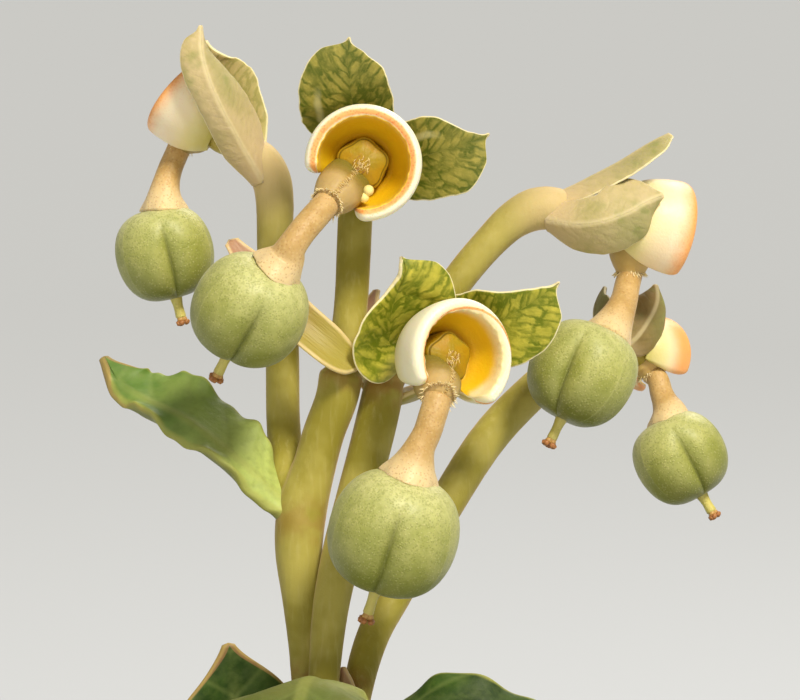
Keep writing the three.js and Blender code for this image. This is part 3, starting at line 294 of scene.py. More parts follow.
STALK_MIDDLE = [
    [-0.4, -0.9, -3.2, 0.80],
    [-0.5, -1.3, -0.7, 0.80],
    [-0.6, -1.0, 1.0, 0.84],
    [-0.5, -0.7, 2.9, 0.90],
    [-0.2, -0.2, 5.6, 1.00],
    [0.4, 0.8, 8.4, 1.09],
    [1.2, 1.8, 11.3, 1.12],
    [1.9, 2.5, 13.8, 1.15],
    [2.4, 3.2, 15.8, 1.15],
    [2.7, 3.7, 17.2, 1.12],
]

STALK_HEAD_3 = [
    [2.6, 3.5, 16.6, 1.05],
    [2.8, 3.9, 17.6, 1.05],
    [3.2, 3.7, 18.3, 1.00],
    [3.7, 3.0, 18.5, 0.95],
]

STALK_HEAD_4 = [
    [2.6, 3.8, 16.7, 0.95],
    [3.3, 5.2, 18.0, 0.91],
    [4.6, 6.8, 19.7, 0.89],
    [6.0, 8.0, 21.3, 0.89],
    [7.3, 9.1, 22.9, 0.92],
    [8.6, 9.8, 24.3, 0.95],
    [9.8, 10.2, 25.4, 1.06],
    [11.0, 10.5, 26.0, 1.20],
    [12.0, 10.6, 26.1, 1.20],
    [12.9, 10.8, 26.1, 1.00],
]

STALK_RIGHT = [
    [0.5, 0.4, -3.4, 0.80],
    [0.9, 0.5, -1.0, 0.80],
    [1.2, 0.9, 0.5, 0.82],
    [1.6, 1.9, 2.1, 0.88],
    [2.2, 3.0, 3.6, 0.92],
    [3.1, 4.0, 5.1, 0.96],
    [5.8, 7.0, 9.4, 1.02],
    [8.5, 9.7, 13.2, 1.06],
    [10.8, 11.3, 15.4, 1.04],
    [12.8, 12.5, 16.9, 1.01],
    [14.5, 13.0, 17.7, 1.02],
    [15.6, 12.7, 17.9, 1.00],
]

TOP_LEAVES = {
    "leaf_top_right": {
        "spine": [[1.6, -0.9, -5.0], [3.0, -1.6, -1.2], [5.0, -2.5, -0.1], [8.4, -3.8, -1.2],
            [12.4, -5.5, -4.6], [18, -7.9, -9.8], [24, -10.6, -15.5], [28.5, -12.5, -21]],
        "left": [0.8, 1.2, 2.6, 3.6, 4.8, 6.6, 6.7, 5.0, 0.3],
        "right": [0.8, 1.2, 2.6, 3.6, 4.8, 6.6, 6.7, 5.0, 0.3],
        "face": [0, -0.35, 0.9], "cup": 0.12, "fold": 0.12, "wave": 0.45, "waves": 4, "slip": 2.4,
    },
    "leaf_top_left": {
        "spine": [[-3.5, 1.4, -19.5], [-5.6, 2.2, -17], [-7.2, 2.9, -12], [-6.9, 3.0, -6.5],
            [-5.7, 2.8, -1], [-5.9, 2.3, 3.0]],
        "left": [0.9, 1.2, 2.6, 3.9, 4.1, 3.0, 0.3],
        "right": [0.9, 1.2, 2.4, 3.5, 3.8, 3.3, 0.3],
        "face": [0.3, -1, 0.25], "cup": 0.1, "fold": 0.1, "wave": 0.4, "waves": 3, "slip": 0.6,
    },
    "leaf_top_front": {
        "spine": [[-0.4, -1.4, -5.0], [-0.9, -2.9, -0.6], [-1.2, -4.6, 2.0], [-1.6, -7.2, 2.0],
            [-2.4, -12.5, -1.6], [-3.5, -19.5, -8.2], [-4.4, -25.5, -15.5]],
        "left": [0.9, 1.3, 2.2, 3.2, 5.6, 7.2, 6.8, 4.6, 0.3],
        "right": [0.9, 1.3, 2.2, 3.2, 5.6, 7.2, 6.8, 4.6, 0.3],
        "face": [0, 0.2, 1], "cup": -0.3, "fold": 0.0, "wave": 0.6, "waves": 4, "slip": 1.1,
    },
}

FORK_LEAF = {
    "spine": [[-2.2, 2.2, 9.8], [-3.4, 2.0, 11.0], [-5.6, 1.8, 13.1], [-8.0, 2.7, 14.9],
        [-10.4, 4.0, 15.9], [-12.0, 4.9, 16.8], [-12.9, 6.1, 18.3]],
    "left": [0.7, 0.8, 0.9, 1.1, 1.2, 1.0, 0.7, 0.4, 0.2],
    "right": [0.8, 1.2, 2.1, 2.8, 3.0, 2.9, 2.5, 1.7, 0.3],
    "face": [0.25, -0.55, 0.8], "cup": 0.12, "fold": 0.1, "wave": 0.5, "waves": 3.5, "slip": 0.9,
}

SMALL_BRACTS = {
    "fork_bract_left_a": {
        "spine": [[1.3, 1.3, 18.5], [0.5, 1.0, 18.9], [-0.6, 0.9, 19.8], [-2.2, 1.3, 21.1],
            [-4.0, 2.1, 23.0], [-5.8, 3.1, 25.2]],
        "left": [0.3, 0.85, 1.15, 1.2, 1.15, 1.0, 0.4],
        "right": [0.3, 0.8, 1.05, 1.15, 1.15, 1.0, 0.4],
        "face": [0.4, -0.9, 0.3], "cup": 0.3, "fold": 0.1,
    },
    "fork_bract_left_b": {
        "spine": [[0.5, 3.0, 17.6], [1.0, 4.3, 18.4], [1.5, 6.0, 19.9], [2.3, 7.6, 21.9]],
        "left": [0.6, 1.2, 1.4, 1.0, 0.2],
        "right": [0.6, 1.2, 1.4, 1.0, 0.2],
        "face": [-0.5, -0.5, 0.7], "cup": 0.3, "fold": 0.1,
    },
    "fork_bract_middle_a": {
        "spine": [[2.9, 3.9, 16.1], [3.8, 4.7, 16.2], [4.8, 6.0, 16.4], [6.0, 8.0, 17.2]],
        "left": [0.5, 1.0, 1.2, 0.9, 0.2],
        "right": [0.5, 1.0, 1.2, 0.9, 0.2],
        "face": [-0.3, 0, 1], "cup": 0.3, "fold": 0.1,
    },
    "fork_bract_middle_b": {
        "spine": [[2.3, 4.4, 16.2], [2.0, 5.8, 17.2], [1.9, 7.9, 18.8], [2.1, 10.0, 20.6]],
        "left": [0.5, 1.0, 1.2, 0.9, 0.2],
        "right": [0.5, 1.0, 1.2, 0.9, 0.2],
        "face": [0.2, -0.6, 0.8], "cup": 0.3, "fold": 0.1,
    },
    "crown_scale": {
        "spine": [[0.6, -1.1, -1.8], [0.7, -0.9, 0.2], [0.6, -0.6, 1.2], [0.4, -0.3, 2.2]],
        "left": [0.6, 0.6, 0.5, 0.2],
        "right": [0.6, 0.6, 0.5, 0.2],
        "face": [0.3, 1, 0.1],
    },
}

HEADS = [
    {
        "base": [-4.9, 7.5, 29.4], "front": [-8.7, 9.2, 32.6], "size": 0.84, "gap": [-40, 26],
        "pedicel": [[-8.6, 9.5, 29.9, 0.66], [-8.9, 9.2, 29.2, 0.66], [-9.2, 8.8, 28.5, 0.68],
            [-9.4, 8.3, 27.8, 0.75], [-9.5, 7.9, 27.1, 0.94], [-9.5, 7.7, 26.2, 1.38]],
        "capsule": {
            "centre": [-9.5, 7.5, 23.9], "axis": [0.26, -0.1, -1],
            "radius": 2.74, "height": 5.1, "spin": 110,
        },
        "bracts": {
            "near": {
                "spine": [[-4.1, 7.3, 27.9], [-5.3, 6.0, 30.2], [-6.3, 5.3, 32.2], [-7.0, 5.2, 33.8],
                    [-7.4, 5.6, 35.3], [-7.4, 6.6, 36.6]],
                "left": [0.7, 1.8, 1.95, 1.75, 1.4, 0.8, 0.15],
                "right": [0.5, 1.0, 1.0, 1.0, 1.1, 0.9, 0.15],
                "face": [-0.5, 1, 0.1], "cup": 0.25, "fold": 0.25,
            },
            "far": {
                "spine": [[-4.2, 8.8, 29.0], [-5.2, 10.2, 30.4], [-6.1, 11.4, 31.6], [-6.8, 12.0, 32.9],
                    [-7.2, 12.0, 34.3], [-7.3, 11.4, 35.4]],
                "left": [0.5, 1.0, 1.2, 1.4, 1.3, 0.9, 0.15],
                "right": [0.5, 1.7, 2.2, 2.4, 2.2, 1.5, 0.15],
                "face": [-0.5, -1, 0.1], "cup": -0.1, "fold": 0,
            },
        },
    },
    {
        "base": [1.3, 5.0, 28.9], "front": [1.6, -0.7, 29.8], "size": 1, "gap": [-36, 32],
        "anthers": [[0.92, 1.5, -0.6], [0.75, 1.84, -0.7]],
        "pedicel": [[-0.35, -1.5, 27.7, 0.72], [-1.0, -2.4, 27.05, 0.75], [-1.65, -3.1, 26.35, 0.75],
            [-2.2, -3.5, 25.6, 0.80], [-2.5, -3.4, 25.0, 1.04], [-3.1, -3.2, 24.2, 1.50]],
        "capsule": {
            "centre": [-4.5, -2.7, 22.1], "axis": [-0.48, 0.28, -1],
            "radius": 3.15, "height": 5.6, "spin": -10,
        },
        "bracts": {
            "upper": {
                "spine": [[1.3, 5.2, 29.2], [1.1, 4.2, 31.2], [1.0, 3.2, 32.5], [0.8, 2.4, 33.8],
                    [0.7, 2.2, 35.1], [0.8, 2.4, 36.3]],
                "left": [0.5, 1.9, 2.7, 2.9, 2.85, 2.5, 1.6, 0.15],
                "right": [0.5, 1.7, 2.1, 2.2, 2.1, 1.9, 1.0, 0.15],
                "face": [0, -1, 0.15], "cup": 0.12, "fold": 0.05,
            },
            "side": {
                "spine": [[1.5, 5.1, 28.9], [3.3, 3.9, 29.3], [4.6, 2.8, 29.7], [6.0, 2.0, 30.2],
                    [7.2, 1.7, 30.6], [8.4, 1.9, 31.1]],
                "left": [0.5, 1.6, 2.0, 2.1, 2.0, 1.3, 0.5, 0.15],
                "right": [0.5, 1.6, 2.1, 2.4, 2.5, 2.5, 1.5, 0.15],
                "face": [0, -1, 0.15], "cup": 0.12, "fold": 0.05,
            },
        },
    },
    {
        "base": [3.8, 2.9, 18.5], "front": [7.0, -2.1, 19.5], "size": 1, "gap": [-18, 64],
        "pedicel": [[5.6, -3.2, 17.5, 0.75], [5.3, -3.7, 16.6, 0.76], [5.0, -4.0, 15.7, 0.76],
            [4.6, -4.2, 14.9, 0.84], [4.3, -4.3, 14.1, 1.16], [4.0, -4.3, 13.2, 1.66]],
        "capsule": {
            "centre": [3.2, -4.4, 10.3], "axis": [-0.31, 0.1, -1],
            "radius": 3.52, "height": 6.5, "spin": 3,
        },
        "bracts": {
            "left": {
                "spine": [[3.9, 3.2, 18.6], [2.9, 2.4, 19.5], [2.9, 1.4, 21.0], [3.3, 0.7, 22.7],
                    [3.7, 0.3, 23.8], [3.6, 0.5, 24.6]],
                "left": [0.5, 2.1, 2.5, 1.9, 0.7, 0.25, 0.2, 0.12],
                "right": [0.5, 1.6, 2.4, 3.0, 3.2, 3.1, 1.9, 0.15],
                "face": [0.45, -1, 0.1], "cup": 0.1, "fold": 0.22,
            },
            "right": {
                "spine": [[4.0, 3.4, 18.7], [5.7, 3.5, 19.8], [7.6, 3.0, 20.4], [9.2, 2.1, 21.0],
                    [10.9, 1.5, 22.1], [12.2, 1.3, 23.1]],
                "left": [0.5, 1.4, 1.9, 2.0, 1.9, 1.2, 0.5, 0.15],
                "right": [0.5, 1.6, 2.2, 2.5, 2.6, 2.5, 1.7, 0.15],
                "face": [0.1, -1, 0.1], "cup": 0.12, "fold": 0.16,
            },
        },
    },
    {
        "base": [13.1, 10.8, 26.1], "front": [19.1, 12.7, 24.4], "size": 0.93, "gap": [-22, 40],
        "pedicel": [[16.5, 11.5, 22.3, 0.70], [16.3, 10.9, 21.7, 0.72], [16.1, 10.1, 21.0, 0.76],
            [15.8, 9.2, 20.4, 0.88], [15.4, 8.6, 19.7, 1.14], [15.0, 8.1, 19.0, 1.50]],
        "capsule": {
            "centre": [13.7, 7.2, 17.2], "axis": [-0.5, -0.25, -1],
            "radius": 3.05, "height": 5.6, "spin": 27,
        },
        "bracts": {
            "upper": {
                "spine": [[12.0, 10.9, 26.4], [14.2, 11.0, 27.5], [16.1, 11.1, 28.5], [17.5, 11.3, 29.4],
                    [18.7, 11.8, 30.1]],
                "left": [0.9, 1.4, 1.5, 1.5, 1.4, 1.1, 0.4],
                "right": [0.9, 1.4, 1.5, 1.5, 1.4, 1.1, 0.4],
                "face": [0.4, 0.1, -1], "cup": 0.2, "fold": 0.1,
            },
            "near": {
                "spine": [[11.7, 9.8, 25.6], [13.2, 8.9, 25.4], [14.8, 8.5, 25.6], [16.3, 8.8, 26.1],
                    [17.3, 9.3, 26.6], [18.2, 9.8, 26.9]],
                "left": [0.7, 1.5, 1.9, 1.9, 1.6, 0.9, 0.15],
                "right": [0.9, 1.2, 1.35, 1.5, 1.9, 1.9, 1.2, 0.15],
                "face": [0.2, 1, 0], "cup": 0.2, "fold": 0.38,
            },
        },
    },
    {
        "base": [15.7, 12.6, 17.9], "front": [18.4, 16.2, 16.9], "size": 0.72, "gap": [-31, 40],
        "pedicel": [[17.8, 14.4, 16.2, 0.60], [18.2, 13.9, 15.9, 0.62], [18.4, 13.4, 15.2, 0.66],
            [18.6, 13.0, 14.7, 0.76], [18.8, 12.6, 14.2, 1.02], [18.9, 12.3, 13.5, 1.36]],
        "capsule": {
            "centre": [19.4, 11.9, 11.7], "axis": [0.6, -0.2, -1],
            "radius": 2.65, "height": 4.9, "spin": -14,
        },
        "bracts": {
            "near": {
                "spine": [[15.9, 12.2, 17.8], [16.8, 12.5, 18.5], [17.5, 13.1, 19.4], [18.0, 13.9, 20.3],
                    [18.1, 14.8, 21.2]],
                "left": [0.4, 1.2, 1.5, 1.4, 0.9, 0.15],
                "right": [0.4, 1.2, 1.5, 1.4, 0.9, 0.15],
                "face": [-0.6, 1, -0.3], "cup": 0.25, "fold": 0.1,
            },
            "far": {
                "spine": [[15.2, 13.0, 18.1], [14.9, 14.4, 18.9], [14.9, 15.7, 19.8], [15.3, 16.8, 20.8]],
                "left": [0.4, 1.2, 1.5, 1.3, 0.7, 0.15],
                "right": [0.4, 1.2, 1.5, 1.3, 0.7, 0.15],
                "face": [1, -0.4, -0.4], "cup": 0.25, "fold": 0.1,
            },
        },
    },
]


def unit(rows):
    return rows / np.linalg.norm(rows, axis=-1, keepdims=True)


def eased(before, here, after, beyond, local):
    """A smooth value at a local place 0 to 1 between here and after"""
    total = 2 * here + (after - before) * local
    total += (2 * before - 5 * here + 4 * after - beyond) * local**2
    total += (3 * here - before - 3 * after + beyond) * local**3
    return total / 2


def square(direction, way):
    """The direction's share that stands square to a way"""
    return unit(direction - way * (direction @ way))


def values_at(values, places):
    """Smooth values at places 0 to 1, through values that stand at equal steps"""
    values = np.asarray(values, float)
    last = len(values) - 1
    place = np.clip(places, 0, 1) * last
    index = np.minimum(place.astype(int), last - 1)
    local = place - index
    before = values[np.maximum(index - 1, 0)]
    here = values[index]
    after = values[index + 1]
    beyond = values[np.minimum(index + 2, last)]
    return np.maximum(eased(before, here, after, beyond, local), np.minimum(here, after))


def loop_at(rows, places):
    """Rows of values at places 0 to 1 round a smooth closed loop through them"""
    rows = np.asarray(rows, float)
    place = (places % 1) * len(rows)
    index = place.astype(int)
    local = (place - index)[:, None]
    around = (rows[(index + step) % len(rows)] for step in (-1, 0, 1, 2))
    return eased(*around, local)


def curve_at(points, places):
    """Spots and directions at places 0 to 1 along a smooth curve through points"""
    knots = np.array([point[:3] for point in points], float)
    padded = np.vstack([2 * knots[0] - knots[1], knots, 2 * knots[-1] - knots[-2]])
    last = len(knots) - 1
    place = np.clip(places, 0, 1) * last
    index = np.minimum(place.astype(int), last - 1)
    local = (place - index)[:, None]
    p0, p1, p2, p3 = (padded[index + step] for step in range(4))
    spans = ((p0, p1), (p1, p2), (p2, p3))
    d0, d1, d2 = (np.sqrt(np.linalg.norm(end - start, axis=1))[:, None] for start, end in spans)
    leave = ((p1 - p0) / d0 - (p2 - p0) / (d0 + d1) + (p2 - p1) / d1) * d1
    arrive = ((p2 - p1) / d1 - (p3 - p1) / (d1 + d2) + (p3 - p2) / d2) * d1
    square = 3 * (p2 - p1) - 2 * leave - arrive
    cube = 2 * (p1 - p2) + leave + arrive
    spots = p1 + leave * local + square * local**2 + cube * local**3
    ways = leave + 2 * square * local + 3 * cube * local**2
    return spots, unit(ways)


def lengths_along(spots):
    steps = np.linalg.norm(np.diff(spots, axis=0), axis=1)
    return np.concatenate([[0], np.cumsum(steps)])


def smooth_step(low, high, values):
    share = np.clip((values - low) / (high - low), 0, 1)
    return share * share * (3 - 2 * share)


def hump(values, width):
    """A smooth hump of height 1 round 0"""
    return np.exp(-((values / width) ** 2))


# Finishes


def srgb(red, green, blue):
    """A colour given from 0 to 255 as it shows on a screen"""
    shares = (red / 255, green / 255, blue / 255)
    linear = (share / 12.92 if share < 0.04045 else ((share + 0.055) / 1.055) ** 2.4 for share in shares)
    return (*linear, 1)


class Wire:
    """A value in a finish, with the sums that build on it"""

    def __init__(self, look, socket):
        self.look = look
        self.socket = socket

    def __add__(self, other):
        return self.look.math("ADD", self, other)

    def __sub__(self, other):
        return self.look.math("SUBTRACT", self, other)

    def __rsub__(self, other):
        return self.look.math("SUBTRACT", other, self)

    def __mul__(self, other):
        return self.look.math("MULTIPLY", self, other)

    def __truediv__(self, other):
        return self.look.math("DIVIDE", self, other)

    def __pow__(self, other):
        return self.look.math("POWER", self, other)

    def __abs__(self):
        return self.look.math("ABSOLUTE", self)

    __radd__ = __add__
    __rmul__ = __mul__


class Look:
    """A finish in the making. Settings such as Coat_Weight go straight to its shader's sockets"""

    def __init__(self, name, **settings):
        self.material = bpy.data.materials.new(name)
        self.material.use_nodes = True
        self.nodes = self.material.node_tree.nodes
        self.shader = self.nodes["Principled BSDF"]
        for socket, value in settings.items():
            self.shader.inputs[socket.replace("_", " ")].default_value = value
        place = self.node("TexCoord", output="Object")
        self.place = self.node("VectorMath", {"operation": "SCALE"}, {"Vector": place, "Scale": 1 / MM})

    def node(self, kind, settings=None, inputs=None, output=0):
        made = self.nodes.new(f"ShaderNode{kind}")
        for name, value in (settings or {}).items():
            if name == "stops":
                self.set_stops(made.color_ramp.elements, value)
            else:
                setattr(made, name, value)
        for socket, value in (inputs or {}).items():
            self.feed(made.inputs[socket], value)
        return Wire(self, made.outputs[output])

    def set_stops(self, elements, stops):
        while len(elements) < len(stops):
            elements.new(1)
        for element, (position, color) in zip(elements, stops):
            element.position = position
            element.color = color

    def feed(self, socket, value):
        if isinstance(value, Wire):
            self.material.node_tree.links.new(value.socket, socket)
        else:
            socket.default_value = value

    def math(self, operation, *values):
        return self.node("Math", {"operation": operation}, dict(enumerate(values)))

    def mark(self, name):
        return self.node("Attribute", {"attribute_name": name}, output="Fac")

    def mask(self, value, low, high):
        """Turns smoothly from 0 at low to 1 at high"""
        settings = {"interpolation_type": "SMOOTHSTEP"}
        return self.node("MapRange", settings, {"Value": value, "From Min": low, "From Max": high})

    def vector(self, x, y, z=0.0):
        return self.node("CombineXYZ", None, {"X": x, "Y": y, "Z": z})

    def noise(self, scale, detail=2.0, place=None, distortion=0.0):
        inputs = {"Vector": place or self.place, "Scale": scale, "Detail": detail, "Distortion": distortion}
        return self.node("TexNoise", None, inputs)

    def sway(self, scale, reach):
        """Places that wander by up to a reach in millimetres"""
        inputs = {"Vector": self.place, "Scale": scale, "Detail": 2.0}
        wander = self.node("TexNoise", None, inputs, output="Color")
        shift = self.node("VectorMath", {"operation": "SCALE"}, {"Vector": wander, "Scale": reach})
        return self.node("VectorMath", {"operation": "ADD"}, {0: self.place, 1: shift})

    def dots(self, scale, size, place=None):
        """Round dots of a share of their spacing"""
        distance = self.node("TexVoronoi", None, {"Vector": place or self.place, "Scale": scale})
        return self.mask(distance, size, size * 0.5)

    def net(self, scale, low, high, place=None):
        """Lines of a net of cells"""
        inputs = {"Vector": place or self.place, "Scale": scale}
        distance = self.node("TexVoronoi", {"feature": "DISTANCE_TO_EDGE"}, inputs)
        return self.mask(distance, high, low)

    def blend(self, share, first, second):
        return self.node("Mix", {"data_type": "RGBA"}, {0: share, 6: first, 7: second}, output=2)

    def ramp(self, share, stops):
        stops = [(position, srgb(*color)) for position, color in stops]
        return self.node("ValToRGB", {"stops": stops}, {"Fac": share})

    def near(self, spots, radius):
        """1 close to any of some places given from the crown, 0 further than radius"""
        share = 0.0
        for spot in spots:
            centre = (spot[0], spot[1], spot[2] + CROWN_HEIGHT)
            inputs = {0: self.place, 1: centre}
            away = self.node("VectorMath", {"operation": "DISTANCE"}, inputs, output="Value")
            share = self.mask(away, radius, radius * 0.3) + share
        return self.node("Clamp", None, {"Value": share})

    def height(self):
        """Height above the table in millimetres"""
        return self.node("SeparateXYZ", None, {"Vector": self.place}, output="Z")

    def finish(self, color, roughness, relief=None):
        """relief is in millimetres"""
        self.feed(self.shader.inputs["Base Color"], color)
        self.feed(self.shader.inputs["Roughness"], roughness)
        if relief:
            bump = self.node("Bump", None, {"Distance": MM, "Height": relief})
            self.feed(self.shader.inputs["Normal"], bump)
        return self.material


def flesh(weight, depth, red=1.0, green=0.75, blue=0.3):
    """Settings for a surface that light soaks into, to a depth in millimetres"""
    return {
        "Subsurface_Weight": weight, "Subsurface_Scale": depth * MM, "Subsurface_Radius": (red, green, blue),
    }


def clay_look():
    look = Look("clay", Specular_IOR_Level=0.3)
    clouds = look.noise(0.09, 4)
    grain = look.noise(2.2, 3)
    pores = look.dots(0.9, 0.16)
    color = look.blend(look.mask(clouds, 0.35, 0.7), srgb(178, 98, 62), srgb(204, 128, 88))
    color = look.blend(look.mask(grain, 0.45, 0.75) * 0.35, color, srgb(224, 160, 122))
    lime = look.mask(look.noise(0.16, 5), 0.6, 0.78) * look.mask(look.height(), 60, 20)
    color = look.blend(lime * 0.4, color, srgb(226, 208, 192))
    color = look.blend(pores * 0.6, color, srgb(120, 62, 40))
    ridges = look.noise(0.8, 2, look.vector(0.0, 0.0, look.height() * 1.6))
    return look.finish(color, 0.72 + grain * 0.2, grain * 0.07 + ridges * 0.12 - pores * 0.12)


def soil_look():
    look = Look("soil", Specular_IOR_Level=0.2)
    crumbs = look.noise(0.8, 6)
    color = look.ramp(look.noise(0.5, 5), [(0.3, (38, 27, 19)), (0.55, (66, 48, 33)), (0.75, (98, 76, 54))])
    return look.finish(color, 0.95, crumbs * 0.9 + look.noise(3, 3) * 0.25)


def grain_look():
    look = Look("grains", Specular_IOR_Level=0.25)
    tone = look.mark("tone")
    stops = [
        (0.0, (44, 31, 22)), (0.42, (74, 52, 34)), (0.60, (112, 84, 58)), (0.66, (176, 160, 138)),
        (0.80, (206, 194, 172)), (0.88, (150, 118, 84)), (1.0, (122, 112, 102)),
    ]
    dark = look.mask(look.noise(2.5, 3), 0.5, 0.8) * 0.4
    color = look.blend(dark, look.ramp(tone, stops), srgb(50, 38, 28))
    return look.finish(color, 0.92, look.noise(3, 4) * 0.25)


def stem_look():
    look = Look("stem", **flesh(0.08, 1.0))
    height = look.height()
    color = look.blend(look.noise(0.25, 3), srgb(104, 112, 58), srgb(136, 138, 80))
    woody = look.mask(height + look.noise(0.3, 3) * 18, 92, 68)
    color = look.blend(woody, color, look.blend(look.noise(0.8, 4), srgb(112, 92, 64), srgb(150, 130, 98)))
    crown = look.mask(height, CROWN_HEIGHT - 8, CROWN_HEIGHT - 2)
    color = look.blend(crown, color, srgb(150, 138, 66))
    specks = look.dots(1.6, 0.22)
    color = look.blend(specks * 0.55, color, srgb(168, 156, 118))
    cracks = look.net(0.7, 0.02, 0.07) * woody
    color = look.blend(cracks * 0.6, color, srgb(84, 66, 44))
    return look.finish(color, 0.6 + woody * 0.2, specks * 0.05 - cracks * 0.12 + look.noise(1.4, 4) * 0.12)


def stalk_look():
    look = Look(
        "stalk", Sheen_Weight=0.4, Sheen_Roughness=0.4, Sheen_Tint=srgb(255, 216, 190),
        Specular_IOR_Level=0.3, **flesh(0.25, 0.7),
    )
    clouds = look.noise(0.35, 3)
    color = look.blend(look.mask(clouds, 0.35, 0.65), srgb(148, 138, 46), srgb(176, 165, 80))
    bases = [HEADS[index]["base"] for index in (0, 3, 4)]
    upper = look.near(bases, 9)
    color = look.blend(upper * 0.5, color, srgb(192, 178, 108))
    heads = look.near(bases, 4.5)
    color = look.blend(heads * 0.75, color, srgb(216, 190, 144))
    blush = look.near(STALK_JOINTS, 2.3) * look.mask(look.noise(0.9, 3), 0.35, 0.6)
    color = look.blend(blush * 0.6, color, srgb(158, 104, 62))
    stretched = look.node("VectorMath", {"operation": "MULTIPLY"}, {0: look.place, 1: (4, 4, 0.5)})
    streaks = look.noise(0.9, 3, stretched)
    color = look.blend(look.mask(streaks, 0.5, 0.75) * 0.3, color, srgb(190, 178, 110))
    grain = look.noise(9, 2)
    return look.finish(color, 0.55 + grain * 0.16, grain * 0.018 + streaks * 0.03)


def leaf_look(name, dark, light, foot, reach):
    """foot is the colour near the leaf's foot, up to a reach of its length"""
    look = Look(name, Specular_IOR_Level=0.35, **flesh(0.15, 0.4, 0.7, 1.0, 0.25))
    off, rim, run, upper, tone = (look.mark(key) for key in ("off", "rim", "run", "upper", "tone"))
    clouds = look.noise(0.35, 4)
    blade = look.blend(look.mask(clouds, 0.3, 0.75), srgb(*dark), srgb(*light))
    base = look.mask(tone + (clouds - 0.5) * 0.2, reach, reach * 0.35)
    blade = look.blend(base * 0.8, blade, srgb(*foot))
    vein = (run - abs(off) * VEIN_SLANT) / LEAF_VEINS[0]
    from_vein = abs(look.math("FRACT", vein + 0.5) - 0.5)
    lines = look.mask(from_vein, 0.12, 0.0)
    fine = look.net(0.6, -0.02, 0.2, look.sway(1.5, 0.8))
    blade = look.blend(lines * 0.2, blade, srgb(136, 150, 84))
    blade = look.blend(fine * 0.1, blade, srgb(132, 148, 88))
    blade = look.blend(look.mask(look.noise(2.4, 4), 0.4, 0.75) * 0.25, blade, srgb(92, 108, 48))
    rib = look.mask(abs(off), 0.5, 0.15) * look.mask(tone, 1.0, 0.6)
    blade = look.blend(rib * 0.35, blade, srgb(164, 168, 92))
    under = look.blend(clouds, srgb(112, 118, 56), srgb(140, 142, 78))
    under = look.blend(rib * 0.7, under, srgb(176, 170, 108))
    color = look.blend(upper, under, blade)
    pale = look.mask(rim + look.noise(0.8, 2) * 0.25, 0.36, 0.12)
    color = look.blend(pale * 0.7, color, srgb(172, 172, 88))
    tip = look.mask(tone, 0.8, 1.0)
    red = look.mask(rim + look.noise(0.5, 2) * 0.2 - tip * 0.3, 0.15, 0.08) * look.mask(tone, 0.45, 0.85)
    color = look.blend(red * 0.45, color, srgb(180, 124, 88))
    return look.finish(color, 0.5 + clouds * 0.15, look.noise(2.2, 3) * 0.05)


def bract_look(name, number):
    cell, vein, outside, outside_vein = (srgb(*color) for color in BRACT_COLOURS[number])
    look = Look(name, Specular_IOR_Level=0.3, **flesh(0.3, 0.3, 0.9, 1.0, 0.3))
    off, rim, run, upper, tone = (look.mark(key) for key in ("off", "rim", "run", "upper", "tone"))
    sway = look.noise(1.3, 3) * 0.6 + look.noise(3.5, 2) * 0.25
    across = abs(off)
    slanted = run - across * VEIN_SLANT + sway
    side = look.mask(off, -0.01, 0.01) * 7.0
    coarse = look.net(1.0, 0.01, 0.25, look.vector(slanted * 1.6, (across + sway) * 1.15, side))
    fine = look.net(1.0, 0.0, 0.36, look.vector(slanted * 3.8, (across + sway) * 3.0, side))
    clouds = look.noise(0.55, 3)
    patches = look.mask(clouds, 0.38, 0.68)
    mottled = look.mask(look.noise(2.6, 3), 0.35, 0.7)
    strength = look.mask(look.noise(0.9, 2), 0.3, 0.6) * 0.3 + 0.35
    cover = coarse * strength + fine * 0.2 + patches * 0.25 + mottled * 0.18
    net = look.node("Clamp", None, {"Value": cover})
    inner = look.blend(net, cell, vein)
    # Painted shade: a dark band along the midrib of the inner side, for the shadow in the fold along the
    # keel.
    rib = look.mask(across + sway * 0.1, 0.4, 0.05) * look.mask(tone, 0.25, 0.6)
    inner = look.blend(rib * 0.5, inner, vein)
    if number == 2:
        crease = look.mask(abs(rim - 1.0), 0.3, 0.05) * look.mask(off, 0.0, -0.2)
        inner = look.blend(crease * look.mask(abs(tone - 0.42), 0.22, 0.08) * 0.6, inner, srgb(206, 198, 146))
    base = look.mask(tone, 0.2, 0.03)
    inner = look.blend(base * 0.6, inner, srgb(214, 200, 130))
    mottle = look.node("Clamp", None, {"Value": coarse * 0.1 + fine * 0.04 + patches * 0.5 + mottled * 0.15})
    outer = look.blend(mottle, outside, outside_vein)
    green = look.mask(off, 0.1, -0.5) * 0.4 + look.mask(look.noise(1.1, 3), 0.5, 0.75) * 0.45
    outer = look.blend(green * look.mask(tone, 0.25, 0.6), outer, srgb(146, 150, 88))
    outer = look.blend(look.mask(tone, 0.3, 0.05) * 0.7, outer, srgb(216, 190, 148))
    outer = look.blend(look.mask(across, 0.16, 0.03) * 0.5, outer, srgb(228, 214, 172))
    color = look.blend(upper, outer, inner)
    edge = look.mask(rim + look.noise(3, 2) * 0.04, 0.085, 0.03)
    color = look.blend(edge * 0.9, color, srgb(246, 234, 192))
    tip = look.mask(tone, 0.95, 1.0)
    color = look.blend(tip * 0.6, color, srgb(238, 218, 176))
    return look.finish(color, 0.5 + clouds * 0.1, look.noise(5, 3) * 0.03 - coarse * 0.01)


